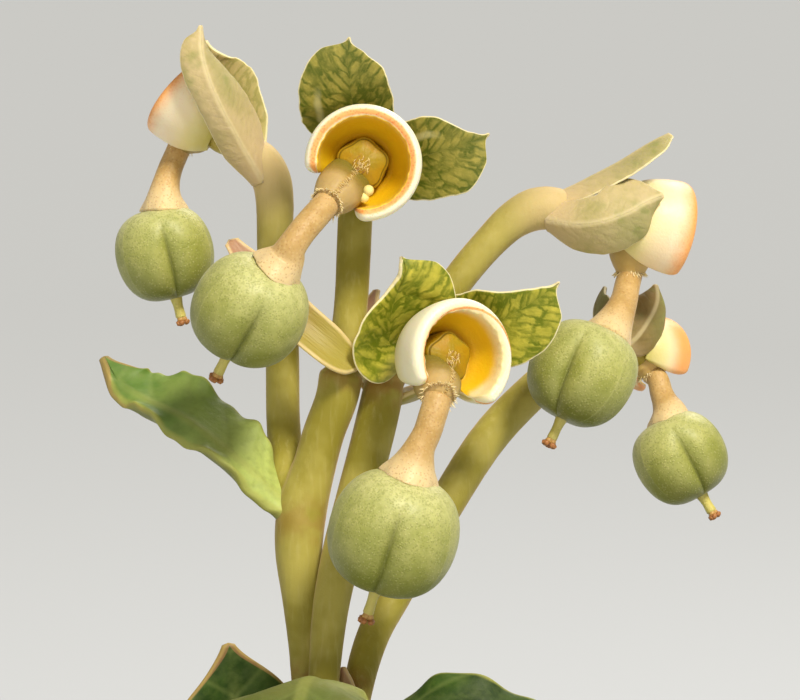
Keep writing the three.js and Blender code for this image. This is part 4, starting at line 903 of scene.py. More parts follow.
def fork_bract_look():
    look = Look("fork bract", Sheen_Weight=0.2, Sheen_Roughness=0.45, **flesh(0.35, 0.35))
    tone, rim, run, off = (look.mark(key) for key in ("tone", "rim", "run", "off"))
    color = look.ramp(tone + look.noise(0.8, 3) * 0.2, [
        (0.0, (150, 134, 56)), (0.3, (164, 150, 54)), (0.6, (166, 148, 60)), (0.85, (176, 138, 98)),
        (1.0, (178, 134, 104)),
    ])
    lines = look.noise(1.0, 2, look.vector(run * 0.7, off * 7.0))
    color = look.blend(look.mask(lines, 0.5, 0.75) * 0.15, color, srgb(150, 140, 56))
    color = look.blend(look.mask(rim, 0.2, 0.06) * 0.7, color, srgb(226, 204, 150))
    return look.finish(color, 0.5, lines * 0.04)


def gland_look(name, line_width, amber, pink_and_spout_light):
    """The orange line that each gland carries is line_width wide either way, in tones"""
    look = Look(f"{name} gland", Coat_Weight=0.12, Coat_Roughness=0.35, **flesh(0.4, 0.6, 1.0, 0.75, 0.3))
    stray = (look.noise(2.2, 3) - 0.5) * 0.03
    tone, from_line = look.mark("tone") + stray, abs(look.mark("off") + stray)
    outside = look.ramp(tone, [
        (0.02, (212, 200, 118)), (0.16, (236, 224, 164)), (0.30, (254, 245, 218)), (0.48, (255, 246, 218)),
        (0.60, (252, 234, 184)), (0.85, (248, 220, 150)),
    ])
    outside = look.blend(look.mask(tone, 0.1, 0.28) * pink_and_spout_light, outside, srgb(250, 216, 176))
    inside = look.ramp(tone, [
        (0.64, (252, 210, 72)), (0.70, (244, 200, 44)), (0.80, (238, 192, 20)), (0.90, (232, 184, 12)),
        (1.0, (208, 160, 10)),
    ])
    color = look.blend(look.mask(tone, amber - 0.10, amber), outside, inside)
    band = look.mask(from_line, line_width * 1.3, line_width * 0.4) * look.mask(tone, 0.66, 0.61)
    color = look.blend(band * 0.85, color, srgb(250, 166, 76))
    specks = look.dots(7.0, 0.5) * look.mask(look.noise(2.5, 2), 0.3, 0.5) * band
    color = look.blend(specks * (0.5 * (1 - pink_and_spout_light)), color, srgb(224, 112, 48))
    if amber < LIP_FADE:
        color = look.blend(look.mask(abs(tone - LIP_TONE), 0.04, 0.02), color, srgb(250, 202, 62))
    strays = look.dots(6.0, 0.26) * look.mask(from_line, line_width * 2.5, line_width)
    strays = strays * look.mask(tone, 0.7, 0.64)
    color = look.blend(strays * (0.35 * (1 - pink_and_spout_light)), color, srgb(230, 160, 92))
    pebble = look.noise(7, 2)
    return look.finish(color, 0.42 + pebble * 0.1, pebble * 0.022)


def involucre_look(name, pink_and_spout_light):
    look = Look(f"{name} involucre", Specular_IOR_Level=0.3, **flesh(0.35, 0.5, 1.0, 0.9, 0.2))
    tone, run = look.mark("tone"), look.mark("run")
    clouds = look.noise(1.3, 3)
    cup = look.ramp(tone + clouds * 0.06, [
        (0.0, (186, 172, 92)), (0.45, (170, 150, 58)), (0.62, (160, 130, 16)), (0.8, (172, 134, 10)),
        (1.0, (168, 132, 18)),
    ])
    cup = look.blend(look.mask(look.noise(0.9, 2), 0.45, 0.65) * 0.45, cup, srgb(152, 140, 36))
    edge = look.mask(abs(look.mark("tone") - (CUP_EDGE + 0.012)), 0.026, 0.008)
    cup = look.blend(edge * 0.75, cup, srgb(104, 88, 24))
    spout = look.ramp(run / 4.0 + clouds * 0.12, [
        (0.0, (150, 126, 26)), (0.4, (120, 110, 36)), (0.65, (128, 116, 46)), (0.85, (150, 128, 66)),
        (1.0, (190, 162, 106)),
    ])
    # Painted light: the spout is painted paler on heads 1, 4 and 5, against the shade that falls on it.
    spout = look.blend(0.9 * pink_and_spout_light, spout, srgb(226, 190, 122))
    slit = look.mask(look.mark("off"), 0.1, 0.8)
    spout = look.blend(slit * 0.4, spout, srgb(196, 152, 70))
    color = look.blend(look.mask(tone, 1.2, 1.8), cup, spout)
    return look.finish(color, 0.45 + clouds * 0.1, look.noise(6, 2) * 0.02 + look.noise(2.5, 2) * 0.06)


def fringe_look():
    look = Look("fringe", **flesh(0.2, 0.2))
    tone = look.mark("tone")
    # The brown stops, which hairs of tone 0.4 take, are painted shade: dark hairs among the pale ones, for
    # the shadows of the fine hairs.
    color = look.ramp(tone, [
        (0.0, (248, 228, 176)), (0.2, (232, 202, 128)), (0.35, (172, 124, 56)), (0.6, (140, 92, 36)),
        (0.8, (238, 216, 136)), (1.0, (246, 226, 150)),
    ])
    return look.finish(color, 0.55, look.noise(14, 2) * 0.02)


def pedicel_look():
    look = Look(
        "pedicel", Sheen_Weight=0.15, Sheen_Roughness=0.4, Sheen_Tint=srgb(255, 236, 214), **flesh(0.25, 0.5)
    )
    tone = look.mark("tone")
    clouds = look.noise(0.9, 3)
    color = look.blend(look.mask(clouds, 0.35, 0.7), srgb(190, 154, 92), srgb(206, 172, 114))
    color = look.blend(look.mask(tone, 0.62, 0.9) * 0.8, color, srgb(236, 212, 164))
    specks = look.dots(6.0, 0.36) * look.mask(look.noise(1.5, 2), 0.25, 0.5)
    color = look.blend(specks * 0.4, color, srgb(170, 118, 64))
    pale = look.dots(4.5, 0.4)
    color = look.blend(pale * 0.15, color, srgb(242, 220, 172))
    return look.finish(color, 0.48, look.noise(6, 3) * 0.035 - specks * 0.012)


def capsule_look():
    look = Look(
        "capsule", Coat_Weight=0.08, Coat_Roughness=0.4, Sheen_Weight=0.15, Sheen_Roughness=0.35,
        **flesh(0.2, 0.6, 0.8, 1.0, 0.35),
    )
    tone, groove, keel, down = (look.mark(key) for key in ("tone", "off", "rim", "run"))
    wander = look.noise(0.8, 3)
    skin_color = look.blend(look.mask(wander, 0.3, 0.7), srgb(156, 160, 76), srgb(182, 182, 106))
    # Painted light: the capsule's top half is painted paler, as light from above falls on it.
    skin_color = look.blend(look.mask(down, 0.5, 0.05) * 0.75, skin_color, srgb(216, 216, 156))
    # Painted shade: the lower part is painted dark olive, for the shade under the capsule.
    skin_color = look.blend(look.mask(down, 0.36, 1.0) * 0.85, skin_color, srgb(94, 98, 28))
    mottled = look.mask(look.noise(3.2, 4), 0.4, 0.65)
    skin_color = look.blend(mottled * 0.3, skin_color, srgb(128, 136, 52))
    specks = look.dots(7.5, 0.5) * look.mask(look.noise(1.7, 2), 0.25, 0.55)
    skin_color = look.blend(specks * 0.4, skin_color, srgb(120, 126, 44))
    pale = look.dots(5.5, 0.34)
    skin_color = look.blend(pale * 0.2, skin_color, srgb(222, 216, 150))
    # Painted shade: the grooves' lower parts are painted dark, for the shade that lies in them.
    painted_groove_shade = look.mask(abs(groove), 0.10, 0.0) * look.mask(down, 0.22, 0.55)
    skin_color = look.blend(painted_groove_shade * 0.6, skin_color, srgb(98, 104, 24))
    ridge = look.mask(abs(keel), 0.03, 0.008)
    skin_color = look.blend(ridge * 0.15, skin_color, srgb(214, 212, 146))
    style = look.ramp(tone, [
        (0.5, (204, 192, 104)), (0.7, (206, 176, 96)), (0.85, (190, 138, 76)), (1.0, (168, 110, 60)),
    ])
    color = look.blend(look.mask(tone, 0.2, 0.4), skin_color, style)
    return look.finish(color, 0.44 + wander * 0.1, pale * 0.012 - specks * 0.008 + look.noise(4, 3) * 0.015)


# Marks that the looks read. off and rim are distances from a blade's midrib and from its margin,
# run is the distance along a piece, upper is 1 on a blade's upper side, and tone is a place on
# the piece's own row of colours.
MARKS = ("off", "rim", "run", "upper", "tone")


def blank():
    bm = bmesh.new()
    for name in MARKS:
        bm.verts.layers.float.new(name)
    return bm


def mark(bm, verts, marks):
    for name, values in marks.items():
        layer = bm.verts.layers.float[name]
        for vert, value in zip(verts, np.broadcast_to(values, len(verts))):
            vert[layer] = value


def skin(bm, around, along, place):
    """A closed skin: a flat grid that place(u, v) wraps, with u round the piece and v along it.
    place gives the points and their marks"""
    grid = bmesh.ops.create_grid(bm, x_segments=around, y_segments=along, size=0.5)["verts"]
    flat = np.array([vert.co[:2] for vert in grid]) + 0.5
    spots, marks = place(flat[:, 0], flat[:, 1])
    for vert, spot in zip(grid, spots):
        vert.co = spot
    mark(bm, grid, marks)


def placed(name, data):
    obj = bpy.data.objects.new(name, data)
    scene.collection.objects.link(obj)
    return obj


def applied(obj):
    """Gives a piece the mesh that its modifiers make"""
    graph = bpy.context.evaluated_depsgraph_get()
    mesh = bpy.data.meshes.new_from_object(obj.evaluated_get(graph))
    obj.modifiers.clear()
    obj.data = mesh


def fused(obj, voxel, rounds):
    """Joins a piece's overlapping skins into one smooth skin"""
    remesh = obj.modifiers.new("fuse", "REMESH")
    remesh.mode = "VOXEL"
    remesh.voxel_size = voxel
    soften = obj.modifiers.new("soften", "SMOOTH")
    soften.factor = 0.5
    soften.iterations = rounds
    applied(obj)


def piece(name, bm, look, replaces=(), lift=CROWN_HEIGHT, voxel=0.0, rounds=8):
    """Makes a finished piece, which rides on the frame's one body"""
    bmesh.ops.remove_doubles(bm, verts=bm.verts, dist=WELD)
    bmesh.ops.recalc_face_normals(bm, faces=bm.faces)
    mesh = bpy.data.meshes.new(name)
    bm.to_mesh(mesh)
    bm.free()
    obj = placed(name, mesh)
    if voxel:
        fused(obj, voxel, rounds)
    obj.data.transform(Matrix.Scale(MM, 4) @ Matrix.Translation((0, 0, lift)))
    obj.data.shade_smooth()
    obj.data.materials.clear()
    obj.data.materials.append(look)
    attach(obj, "root")
    if replaces:
        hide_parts(*replaces)
    return obj


def carried(ways):
    """Two directions square to a curve's own, carried along it without a twist"""
    helper = (0, 1, 0) if abs(ways[0][2]) > 0.9 else (0, 0, 1)
    normal = unit(np.cross(helper, ways[0]))
    normals = []
    for way in ways:
        normal = square(normal, way)
        normals.append(normal)
    normals = np.array(normals)
    return normals, np.cross(ways, normals)


def stem(bm, points, around, along, swell=None, tone=0.0, hollow=None):
    """A round stem through points [x, y, height, radius]. swell(outward, t) scales the radius, and
    hollow(outward) marks a line along it. Without a tone, the tone runs from 0 to 1 along it"""
    places = np.linspace(0, 1, along + 1)
    spots, ways = curve_at(points, places)
    normals, sides = carried(ways)
    radii = values_at([point[3] for point in points], places)
    spots[0] -= ways[0] * radii[0] * CAP_SHARE
    spots[-1] += ways[-1] * radii[-1] * CAP_SHARE
    runs = lengths_along(spots)
    radii[0] = radii[-1] = 0

    def place(u, v):
        row = np.rint(v * along).astype(int)
        angle = (u * TAU)[:, None]
        outward = normals[row] * np.cos(angle) + sides[row] * np.sin(angle)
        radius = radii[row]
        if swell:
            radius = radius * swell(outward, v)
        off = hollow(outward) if hollow else 0.0
        place_tone = v if tone is None else tone
        return spots[row] + outward * radius[:, None], {"run": runs[row], "tone": place_tone, "off": off}

    skin(bm, around, along, place)


def blade(bm, shape, thickness, around, along, rib, veins, point=0.0, ragged=0.0):
    """A leaf or bract: a thin lens of a section carried along its midrib. rib is the midrib's
    height and width, veins the side veins' spacing and height. point draws the tip in to a fine
    point, and ragged is the share by which the outline wavers"""
    places = np.linspace(0, 1, along + 1)
    spots, ways = curve_at(shape["spine"], places)
    face = unit(np.array(shape["face"], float))
    ups = unit(face - ways * (ways @ face)[:, None])
    sides = np.cross(ways, ups)
    runs = lengths_along(spots)
    cup, fold, wave = (shape.get(key, 0) for key in ("cup", "fold", "wave"))

    def place(u, v):
        row = np.rint(v * along).astype(int)
        angle = u * TAU
        across, lens = -np.cos(angle), np.sin(angle)
        open_row = (row > 0) & (row < along)
        half = np.where(across < 0, values_at(shape["left"], v), values_at(shape["right"], v)) * open_row
        waver = np.sin(v * 43 + np.sign(across)) + 0.7 * np.sin(v * 71 + 2)
        half = half * (1 + ragged * waver) * (1 - point * smooth_step(0.87, 0.96, v))
        reach = np.sqrt(across**2 + MIDRIB_SOFTNESS) - math.sqrt(MIDRIB_SOFTNESS)
        off = across * half
        swell = np.sin(math.pi * v)
        phase = shape.get("waves", 0) * v * TAU + np.where(across < 0, 0, shape.get("slip", 1.3))
        ripple = wave * swell * (np.sin(phase) * across**2 + CRISP * np.sin(CRISP_WAVES * phase) * across**6)
        lift = cup * half * across**2 + fold * half * reach + ripple
        slope = 2 * cup * across + fold * np.sign(across) * smooth_step(0, 0.1, np.abs(across))
        out = unit(ups[row] - sides[row] * slope[:, None])
        thick = thickness / 2 * values_at(BLADE_BODY, v) * open_row
        skin_off = thick * np.sign(lens) * np.abs(lens) ** BLADE_ROUND
        upper = (lens > 0).astype(float)
        fade = swell * open_row
        skin_off -= rib[0] * hump(off, rib[1]) * (1 - RIB_SHARE * upper) * fade
        vein = (runs[row] - VEIN_SLANT * np.abs(off)) / veins[0]
        inside = smooth_step(0, 0.3, 1 - np.abs(across)) * (1 - hump(off, rib[1]))
        skin_off -= veins[1] * hump(vein - np.rint(vein), VEIN_WIDTH) * inside * fade
        spot = spots[row] + sides[row] * off[:, None] + ups[row] * lift[:, None] + out * skin_off[:, None]
        rim = half * (1 - np.abs(across))
        return spot, {"off": off, "rim": rim, "run": runs[row], "upper": upper, "tone": v}

    skin(bm, around, along, place)


# The pot, turned from its profile, and its soil


def rounded(corners, steps=5):
    """A profile with its corners rounded: each corner is [radius, height, rounding]"""
    points = []
    for index, (x, z, rounding) in enumerate(corners):
        here = np.array((x, z))
        if not rounding:
            points.append(here)
            continue
        before, after = np.array(corners[index - 1][:2]), np.array(corners[index + 1][:2])
        enter, leave = here + unit(before - here) * rounding, here + unit(after - here) * rounding
        for step in range(steps + 1):
            share = step / steps
            points.append(enter * (1 - share) ** 2 + here * 2 * share * (1 - share) + leave * share**2)
    return points


def turned(bm, profile, steps):
    """Spins a profile of [radius, height] round the upright axis"""
    chain = [bm.verts.new((point[0], 0, point[1])) for point in profile]
    edges = [bm.edges.new(pair) for pair in zip(chain, chain[1:])]
    bmesh.ops.spin(
        bm, geom=chain + edges, axis=(0, 0, 1), cent=(0, 0, 0), angle=TAU, steps=steps, use_merge=True
    )


def cut_out(obj, cutter_mesh):
    """Cuts a cutter's solids out of a piece"""
    cutter = placed("cutter", cutter_mesh)
    cut = obj.modifiers.new("cut", "BOOLEAN")
    cut.operation = "DIFFERENCE"
    cut.solver = "EXACT"
    cut.object = cutter
    applied(obj)
    bpy.data.objects.remove(cutter)


def make_pot():
    collar_foot = POT_HEIGHT - POT_COLLAR_HEIGHT
    body_top = POT_TOP_RADIUS - POT_COLLAR_STEP
    inner_top = POT_TOP_RADIUS - POT_WALL
    profile = rounded([
        [0, 0, 0],
        [POT_BASE_RADIUS, 0, POT_ROUND],
        [body_top - 1, collar_foot - POT_ROUND, 0.8],
        [POT_TOP_RADIUS - 0.6, collar_foot, POT_ROUND],
        [POT_TOP_RADIUS, POT_HEIGHT, POT_ROUND * 1.4],
        [inner_top, POT_HEIGHT, POT_ROUND * 1.4],
        [inner_top - POT_INNER_TAPER, collar_foot, 2],
        [POT_BASE_RADIUS - POT_WALL + 1, POT_FLOOR, 2],
        [0, POT_FLOOR, 0],
    ])
    bm = blank()
    turned(bm, profile, POT_STEPS)
    obj = piece("clay_pot", bm, clay_look(), replaces=["pot"], lift=0)
    holes = bmesh.new()
    for index in range(DRAIN_COUNT):
        turn = (index + 0.5) / DRAIN_COUNT * TAU
        spot = Vector((math.cos(turn), math.sin(turn), 0)) * DRAIN_RING_RADIUS * MM
        bmesh.ops.create_cone(
            holes, cap_ends=True, segments=40, radius1=DRAIN_RADIUS * MM, radius2=DRAIN_RADIUS * MM,
            depth=POT_FLOOR * 3 * MM, matrix=Matrix.Translation(spot),
        )
    cutter = bpy.data.meshes.new("drain_holes")
    holes.to_mesh(cutter)
    holes.free()
    cut_out(obj, cutter)
    obj.data.shade_smooth()
    obj.data.set_sharp_from_angle(angle=math.radians(SHARP_ANGLE))


def soil_height(x, y):
    """Height of the soil's crowned and lumpy top"""
    edge = POT_TOP_RADIUS - POT_WALL - 0.9
    share = np.hypot(x, y) / edge
    lumps = np.sin(x * 0.9 + 1) * np.cos(y * 0.8 - 0.4) * 0.35
    fine = 0.22 * np.sin(x * 2.1 + y * 1.3) * np.sin(y * 2.6 - x * 0.7 + 2)
    return SOIL_TOP + SOIL_CROWN * (1 - share**2) + (lumps + fine) * (1 - smooth_step(0.9, 1, share))


def make_soil():
    collar_foot = POT_HEIGHT - POT_COLLAR_HEIGHT
    rise = (SOIL_TOP - collar_foot) / (POT_COLLAR_HEIGHT - POT_ROUND)
    edge = POT_TOP_RADIUS - POT_WALL - POT_INNER_TAPER + POT_INNER_TAPER * rise - SOIL_GAP
    foot = POT_BASE_RADIUS - POT_WALL + 1 - SOIL_GAP
    profile = [(0, POT_FLOOR + SOIL_GAP), (foot - 2, POT_FLOOR + SOIL_GAP), (foot, POT_FLOOR + 2.5)]
    profile += [(POT_TOP_RADIUS - POT_WALL - 2.2, collar_foot)]
    profile += [(edge * (1 - ring / SOIL_RINGS), SOIL_TOP) for ring in range(SOIL_RINGS + 1)]
    bm = blank()
    turned(bm, profile, POT_STEPS)
    for vert in bm.verts:
        if vert.co.z > SOIL_TOP - WELD:
            vert.co.z = float(soil_height(vert.co.x, vert.co.y))
    piece("potting_soil", bm, soil_look(), replaces=["soil"], lift=0)


def make_grains():
    """Loose grains of the potting mix on the soil, each one a small lumpy stone or crumb"""
    draw = random.Random(GRAIN_SEED)
    bm = blank()
    while len(bm.verts) < GRAIN_COUNT * 12:
        reach = POT_INSIDE * math.sqrt(draw.random())
        turn = draw.random() * TAU
        if reach < STEM_AT_SOIL:
            continue
        x, y = reach * math.cos(turn), reach * math.sin(turn)
        radius = GRAIN_SMALL + (GRAIN_LARGE - GRAIN_SMALL) * draw.random() ** 3
        spin = Matrix.Rotation(draw.random() * TAU, 4, Vector((draw.random(), draw.random(), 1)))
        size = Matrix.Diagonal((radius, radius * draw.uniform(0.6, 1), radius * draw.uniform(0.5, 0.9), 1))
        spot = Matrix.Translation((x, y, float(soil_height(x, y)) + radius * 0.2))
        grain = bmesh.ops.create_icosphere(bm, subdivisions=1, radius=1, matrix=spot @ spin @ size)["verts"]
        mark(bm, grain, {"tone": draw.random()})
    piece("soil_grains", bm, grain_look(), lift=0)


# The fleshy main stem and the foliage


def stem_scars():
    """Places of the old leaves' scars, as turn and height, down the stem below the leaves"""
    first = LEAF_FIRST_HEIGHT - LEAF_PITCH * LEAF_COUNT
    turns = [math.radians(LEAF_FIRST_TURN + LEAF_TURN * (LEAF_COUNT + index)) for index in range(SCAR_COUNT)]
    return [(turn, first - SCAR_PITCH * index) for index, turn in enumerate(turns)]


def make_main_stem():
    radii = [point[3] for point in MAIN_STEM]
    heights = [point[2] for point in MAIN_STEM]
    around, along = MAIN_STEM_MESH
    bm = blank()
    stem_height = np.interp(np.linspace(0, 1, along + 1), np.linspace(0, 1, len(heights)), heights)

    def swell(outward, v):
        turn = np.arctan2(outward[:, 1], outward[:, 0])
        height = stem_height[np.rint(v * along).astype(int)]
        radius = values_at(radii, v)
        rise = 0.22 * np.sin(turn * 3 + height * 0.11) + 0.1 * np.sin(turn * 7 - height * 0.23)
        for scar_turn, scar_height in stem_scars():
            aside = (turn - scar_turn + math.pi) % TAU - math.pi
            away = np.hypot(aside * radius, (height - scar_height) * 1.35)
            rise = rise + 0.75 * hump(away, 1.9) - 0.55 * hump(away, 0.85)
        rise += 0.05 * np.sin(height * 5 + np.sin(turn * 4) * 1.5) * smooth_step(-45, -60, height)
        return 1 + rise / np.maximum(radius, 1)

    stem(bm, MAIN_STEM, around, along, swell)
    piece("fleshy_stem", bm, stem_look(), replaces=["main_stem"])


def spiral_leaf(index):
    height = LEAF_FIRST_HEIGHT - LEAF_PITCH * index
    turn = math.radians(LEAF_FIRST_TURN + LEAF_TURN * index)
    length = LEAF_FIRST_LENGTH + LEAF_GAIN * index - LEAF_LOSS * index * index
    half = LEAF_FIRST_HALF + LEAF_HALF_GAIN * index
    start = stem_radius(height) - LEAF_ROOT
    out = (math.cos(turn), math.sin(turn))
    spine = []
    for reach, rise in LEAF_ARCH:
        radius = start + reach * length
        spine.append([out[0] * radius, out[1] * radius, height + rise * length])
    outline = [share * half for share in LEAF_OUTLINE]
    return {
        "spine": spine, "left": outline, "right": outline, "face": [-out[0] * 0.3, -out[1] * 0.3, 1],
        "cup": 0.1, "fold": 0.14, "wave": 1.3, "waves": 5, "slip": 1.7 + index,
    }


def stem_radius(height):
    heights = [point[2] for point in MAIN_STEM]
    radii = [point[3] for point in MAIN_STEM]
    return float(np.interp(-height, [-value for value in heights], radii))


def make_leaf(name, shape, look, mesh=LEAF_MESH):
    bm = blank()
    blade(bm, shape, LEAF_THICKNESS, *mesh, LEAF_RIB, LEAF_VEINS)
    piece(f"{name}_blade", bm, look, replaces=[name])


def make_foliage():
    look = leaf_look("foliage", LEAF_DARK, LEAF_LIGHT, LEAF_BASE, 0.25)
    front = leaf_look("front leaf", LEAF_DARK, LEAF_LIGHT, LEAF_BASE, 0.7)
    for name, shape in TOP_LEAVES.items():
        make_leaf(name, shape, front if name == "leaf_top_front" else look)
    for index in range(LEAF_COUNT):
        make_leaf(f"leaf_{index + 1}", spiral_leaf(index), look)
    # The fork leaf's lighter colours are partly painted light, for the light that shines through it.
    fork = leaf_look("fork leaf", FORK_LEAF_DARK, FORK_LEAF_LIGHT, FORK_LEAF_BASE, 0.62)
    make_leaf("fork_leaf", FORK_LEAF, fork, FORK_LEAF_MESH)


def make_stalks():
    look = stalk_look()
    groups = {
        "stalks_left": (STALK_LEFT, STALK_HEAD_1, STALK_HEAD_2),
        "stalks_middle": (STALK_MIDDLE, STALK_HEAD_3, STALK_HEAD_4),
        "stalk_right": (STALK_RIGHT,),
    }
    for name, stems in groups.items():
        bm = blank()
        for points in stems:
            stem(bm, points, *STALK_MESH)
        piece(f"{name}_skin", bm, look, replaces=[name], voxel=STALK_VOXEL)


# Flower heads


class Head:
    """A flower head's own directions: along points out of the gland, gap to where the pedicel leaves"""

    def __init__(self, values):
        self.values = values
        self.size = values["size"]
        self.front = np.array(values["front"], float)
        self.exit = np.array(values["pedicel"][0][:3], float)
        self.along = unit(self.front - np.array(values["base"], float))
        self.gap = square(self.exit - self.front, self.along)
        self.side = np.cross(self.along, self.gap)

    def spot(self, turn, radius, depth):
        """Points at a turn round the head's axis, in sizes of the head"""
        turn, radius, depth = (np.asarray(value, float)[..., None] for value in (turn, radius, depth))
        level = self.front + self.along * depth * self.size
        return level + (self.gap * np.cos(turn) + self.side * np.sin(turn)) * radius * self.size

    def on_cup(self, tree, out, aside):
        """The spot of the cup's or spout's skin that shows at a distance out towards the gap and aside"""
        start = self.front + (self.along * 2 + self.gap * out + self.side * aside) * self.size
        return tree.ray_cast(Vector(start), Vector(-self.along))[0]


def gland(bm, head, line):
    """One section swept round the head from one side of the gap to the other, with rounded ends"""
    section = np.array(GLAND_SECTION)
    middle = section[:, :2].mean(axis=0)
    before, beyond = head.values["gap"]
    start = math.radians(beyond)
    end = TAU + math.radians(before)
    rounding = math.radians(GLAND_ROUND)
    left, right = line

    def place(u, v):
        radius, depth, tone = loop_at(section, u).T
        turn = start + (end - start) * v
        inset = np.clip(np.minimum(turn - start, end - turn) / rounding, 0, 1)
        share = np.sqrt(1 - (1 - inset) ** 2)
        waves = np.sin(turn * 13) + 0.8 * np.sin(turn * 22 + 1) + 0.6 * np.sin(turn * 37 + 2)
        lip = hump(tone - LIP_TONE, 0.035)
        radius = radius - lip * LIP_CRINKLE * waves
        depth = depth + lip * (LIP_CREST + LIP_CRINKLE * 0.5 * waves)
        radius = middle[0] + (radius - middle[0]) * share
        depth = middle[1] + (depth - middle[1]) * share
        line_tone = left + (right - left) * (0.5 + 0.5 * np.sin(turn))
        pale = HORN_PALENESS * hump(np.minimum(turn - start, end - turn), HORN_PALE_REACH)
        marks = {"tone": tone - pale * smooth_step(0.66, 0.76, tone), "off": tone - line_tone}
        return head.spot(turn, radius, depth), marks

    skin(bm, *GLAND_MESH, place)


def involucre(bm, head):
    """The lobed cup inside the gland, and its slit spout to the pedicel"""

    def place_cup(u, v):
        turn = u * TAU
        radius, depth = values_at(CUP_RADII, v), values_at(CUP_DEPTHS, v)
        lobed = smooth_step(0.4, 0.62, v)
        radius = radius * (1 + CUP_CORNER * lobed * np.cos(CUP_LOBES * turn))
        corner = np.abs((turn * CUP_LOBES / TAU + 0.5) % 1 - 0.5)
        depth = depth - CUP_SEAM * hump(corner, 0.05) * smooth_step(0.62, 0.7, v)
        depth = depth - 0.05 * hump(v - CUP_EDGE, 0.02)
        return head.spot(turn, radius, depth), {"tone": v, "run": 0.0, "off": 0.0}

    skin(bm, *CUP_MESH, place_cup)
    inside = head.spot(0, 0, SPOUT_START)
    mouth = head.exit
    widths = [value * head.size for value in SPOUT_RADII] + [head.values["pedicel"][0][3] + SPOUT_LIP]
    count = len(widths) - 1
    points = [[*(inside + (mouth - inside) * index / count), width] for index, width in enumerate(widths)]
    way = unit(mouth - inside)
    crest = square(head.along, way)

    def slit(outward):
        return hump(np.arccos(np.clip(outward @ crest, -1, 1)), SLIT_WIDTH)

    def swell(outward, v):
        front = np.clip(outward @ crest, 0, 1) ** 2
        return 1 - SLIT_DEPTH * slit(outward) - SPOUT_FLATNESS * front * smooth_step(0.8, 0.3, v)

    stem(bm, points, *SPOUT_MESH, swell, SPOUT_TONE, slit)
    return way, widths[-1]


def hair(bm, foot, tip, radius, tone):
    """A fine tapered hair"""
    way = Vector(tip - foot)
    place = Matrix.Translation(Vector((foot + tip) / 2)) @ way.to_track_quat("Z", "Y").to_matrix().to_4x4()
    made = bmesh.ops.create_cone(
        bm, cap_ends=True, segments=4, radius1=radius, radius2=radius * 0.2, depth=way.length, matrix=place
    )["verts"]
    mark(bm, made, {"tone": tone})


def fringe(bm, head, tree, spout, draw):
    """Hairs of the cup's mouth, of the spout's slit and of its collar, and the anthers that stand out"""
    size = head.size
    lift = Vector(head.along) * HAIR_RADIUS * size

    def laid(out, aside, toward, length, radius, tone):
        """A hair that lies on the cup's skin, from a foot and in a direction seen from the front"""
        foot = head.on_cup(tree, out, aside)
        tip = head.on_cup(tree, out + math.cos(toward) * length, aside + math.sin(toward) * length)
        if foot and tip:
            hair(bm, foot + lift * 0.3, tip + lift, radius * size, tone)

    slit_length = (head.exit - head.front) @ head.gap / size
    for index in range(STITCHES):
        out = slit_length * (index + 0.5) / STITCHES
        # Every fourth stitch hair, of tone 0.4, is dark brown: painted shade.
        for hand, tone in ((1, 0.15), (-1, 0.1), (1, 0.2), (-1, 0.4)):
            slant = hand * (math.pi / 2 - draw.uniform(-0.3, 0.8))
            reach = STITCH_REACH * draw.uniform(0.6, 1.4) * (1 - tone)
            place = out + draw.uniform(-0.08, 0.08)
            laid(place, -hand * reach * draw.uniform(0.3, 0.9), slant, reach * 1.5, HAIR_RADIUS, tone)
    for index in range(CENTRE_HAIRS):
        turn = draw.uniform(0, TAU)
        away = CENTRE_REACH * math.sqrt(draw.random())
        length = HAIR_LENGTH * draw.uniform(0.5, 1)
        # Every third centre hair, of tone 0.4, is dark brown: painted shade among the fimbriae.
        tone = (0.15, 0.4, 0.2)[index % 3]
        laid(away * math.cos(turn), away * math.sin(turn), draw.gauss(0.3, 0.4), length, HAIR_RADIUS, tone)
    way, width = spout
    crest = square(head.along, way)
    aside = np.cross(way, crest)
    for index in range(COLLAR_HAIRS):
        turn = index / COLLAR_HAIRS * TAU + draw.uniform(-0.04, 0.04)
        outward = crest * math.cos(turn) + aside * math.sin(turn)
        foot = head.exit + outward * width * 0.95 - way * draw.uniform(-0.08, 0.12)
        tip = foot + unit(way + outward * draw.uniform(0.5, 1.8)) * HAIR_LENGTH * draw.uniform(0.4, 1.1)
        hair(bm, foot, tip, HAIR_RADIUS * draw.uniform(1.5, 3) * size, 0.0)
    for turn, radius, depth in head.values.get("anthers", []):
        centre = head.spot(turn, radius, depth)
        root = head.spot(turn, radius * 0.8, depth - 0.7)
        filament = [[*root, 0.07 * size], [*((root + centre) / 2), 0.06 * size], [*centre, 0.06 * size]]
        stem(bm, filament, *FILAMENT_MESH)
        ball = bmesh.ops.create_icosphere(
            bm, subdivisions=4, radius=ANTHER_RADIUS * size, matrix=Matrix.Translation(Vector(centre))
        )["verts"]
        mark(bm, ball, {"tone": 1.0})


def pedicel(bm, head):
    """The bent stalk of the capsule, flared into the calyx that sits on it"""
    axis = unit(np.array(head.values["capsule"]["axis"], float))

    def ruffle(outward, v):
        front = np.array((0, -1, 0)) - axis * -axis[1]
        turn = np.arctan2(outward @ np.cross(axis, unit(front)), outward @ unit(front))
        flare = smooth_step(0.8, 1, v)
        return 1 + flare * (0.07 * np.cos(turn * 3) + 0.025 * np.sin(turn * 8 + 1))

    stem(bm, head.values["pedicel"], *PEDICEL_MESH, ruffle, tone=None)


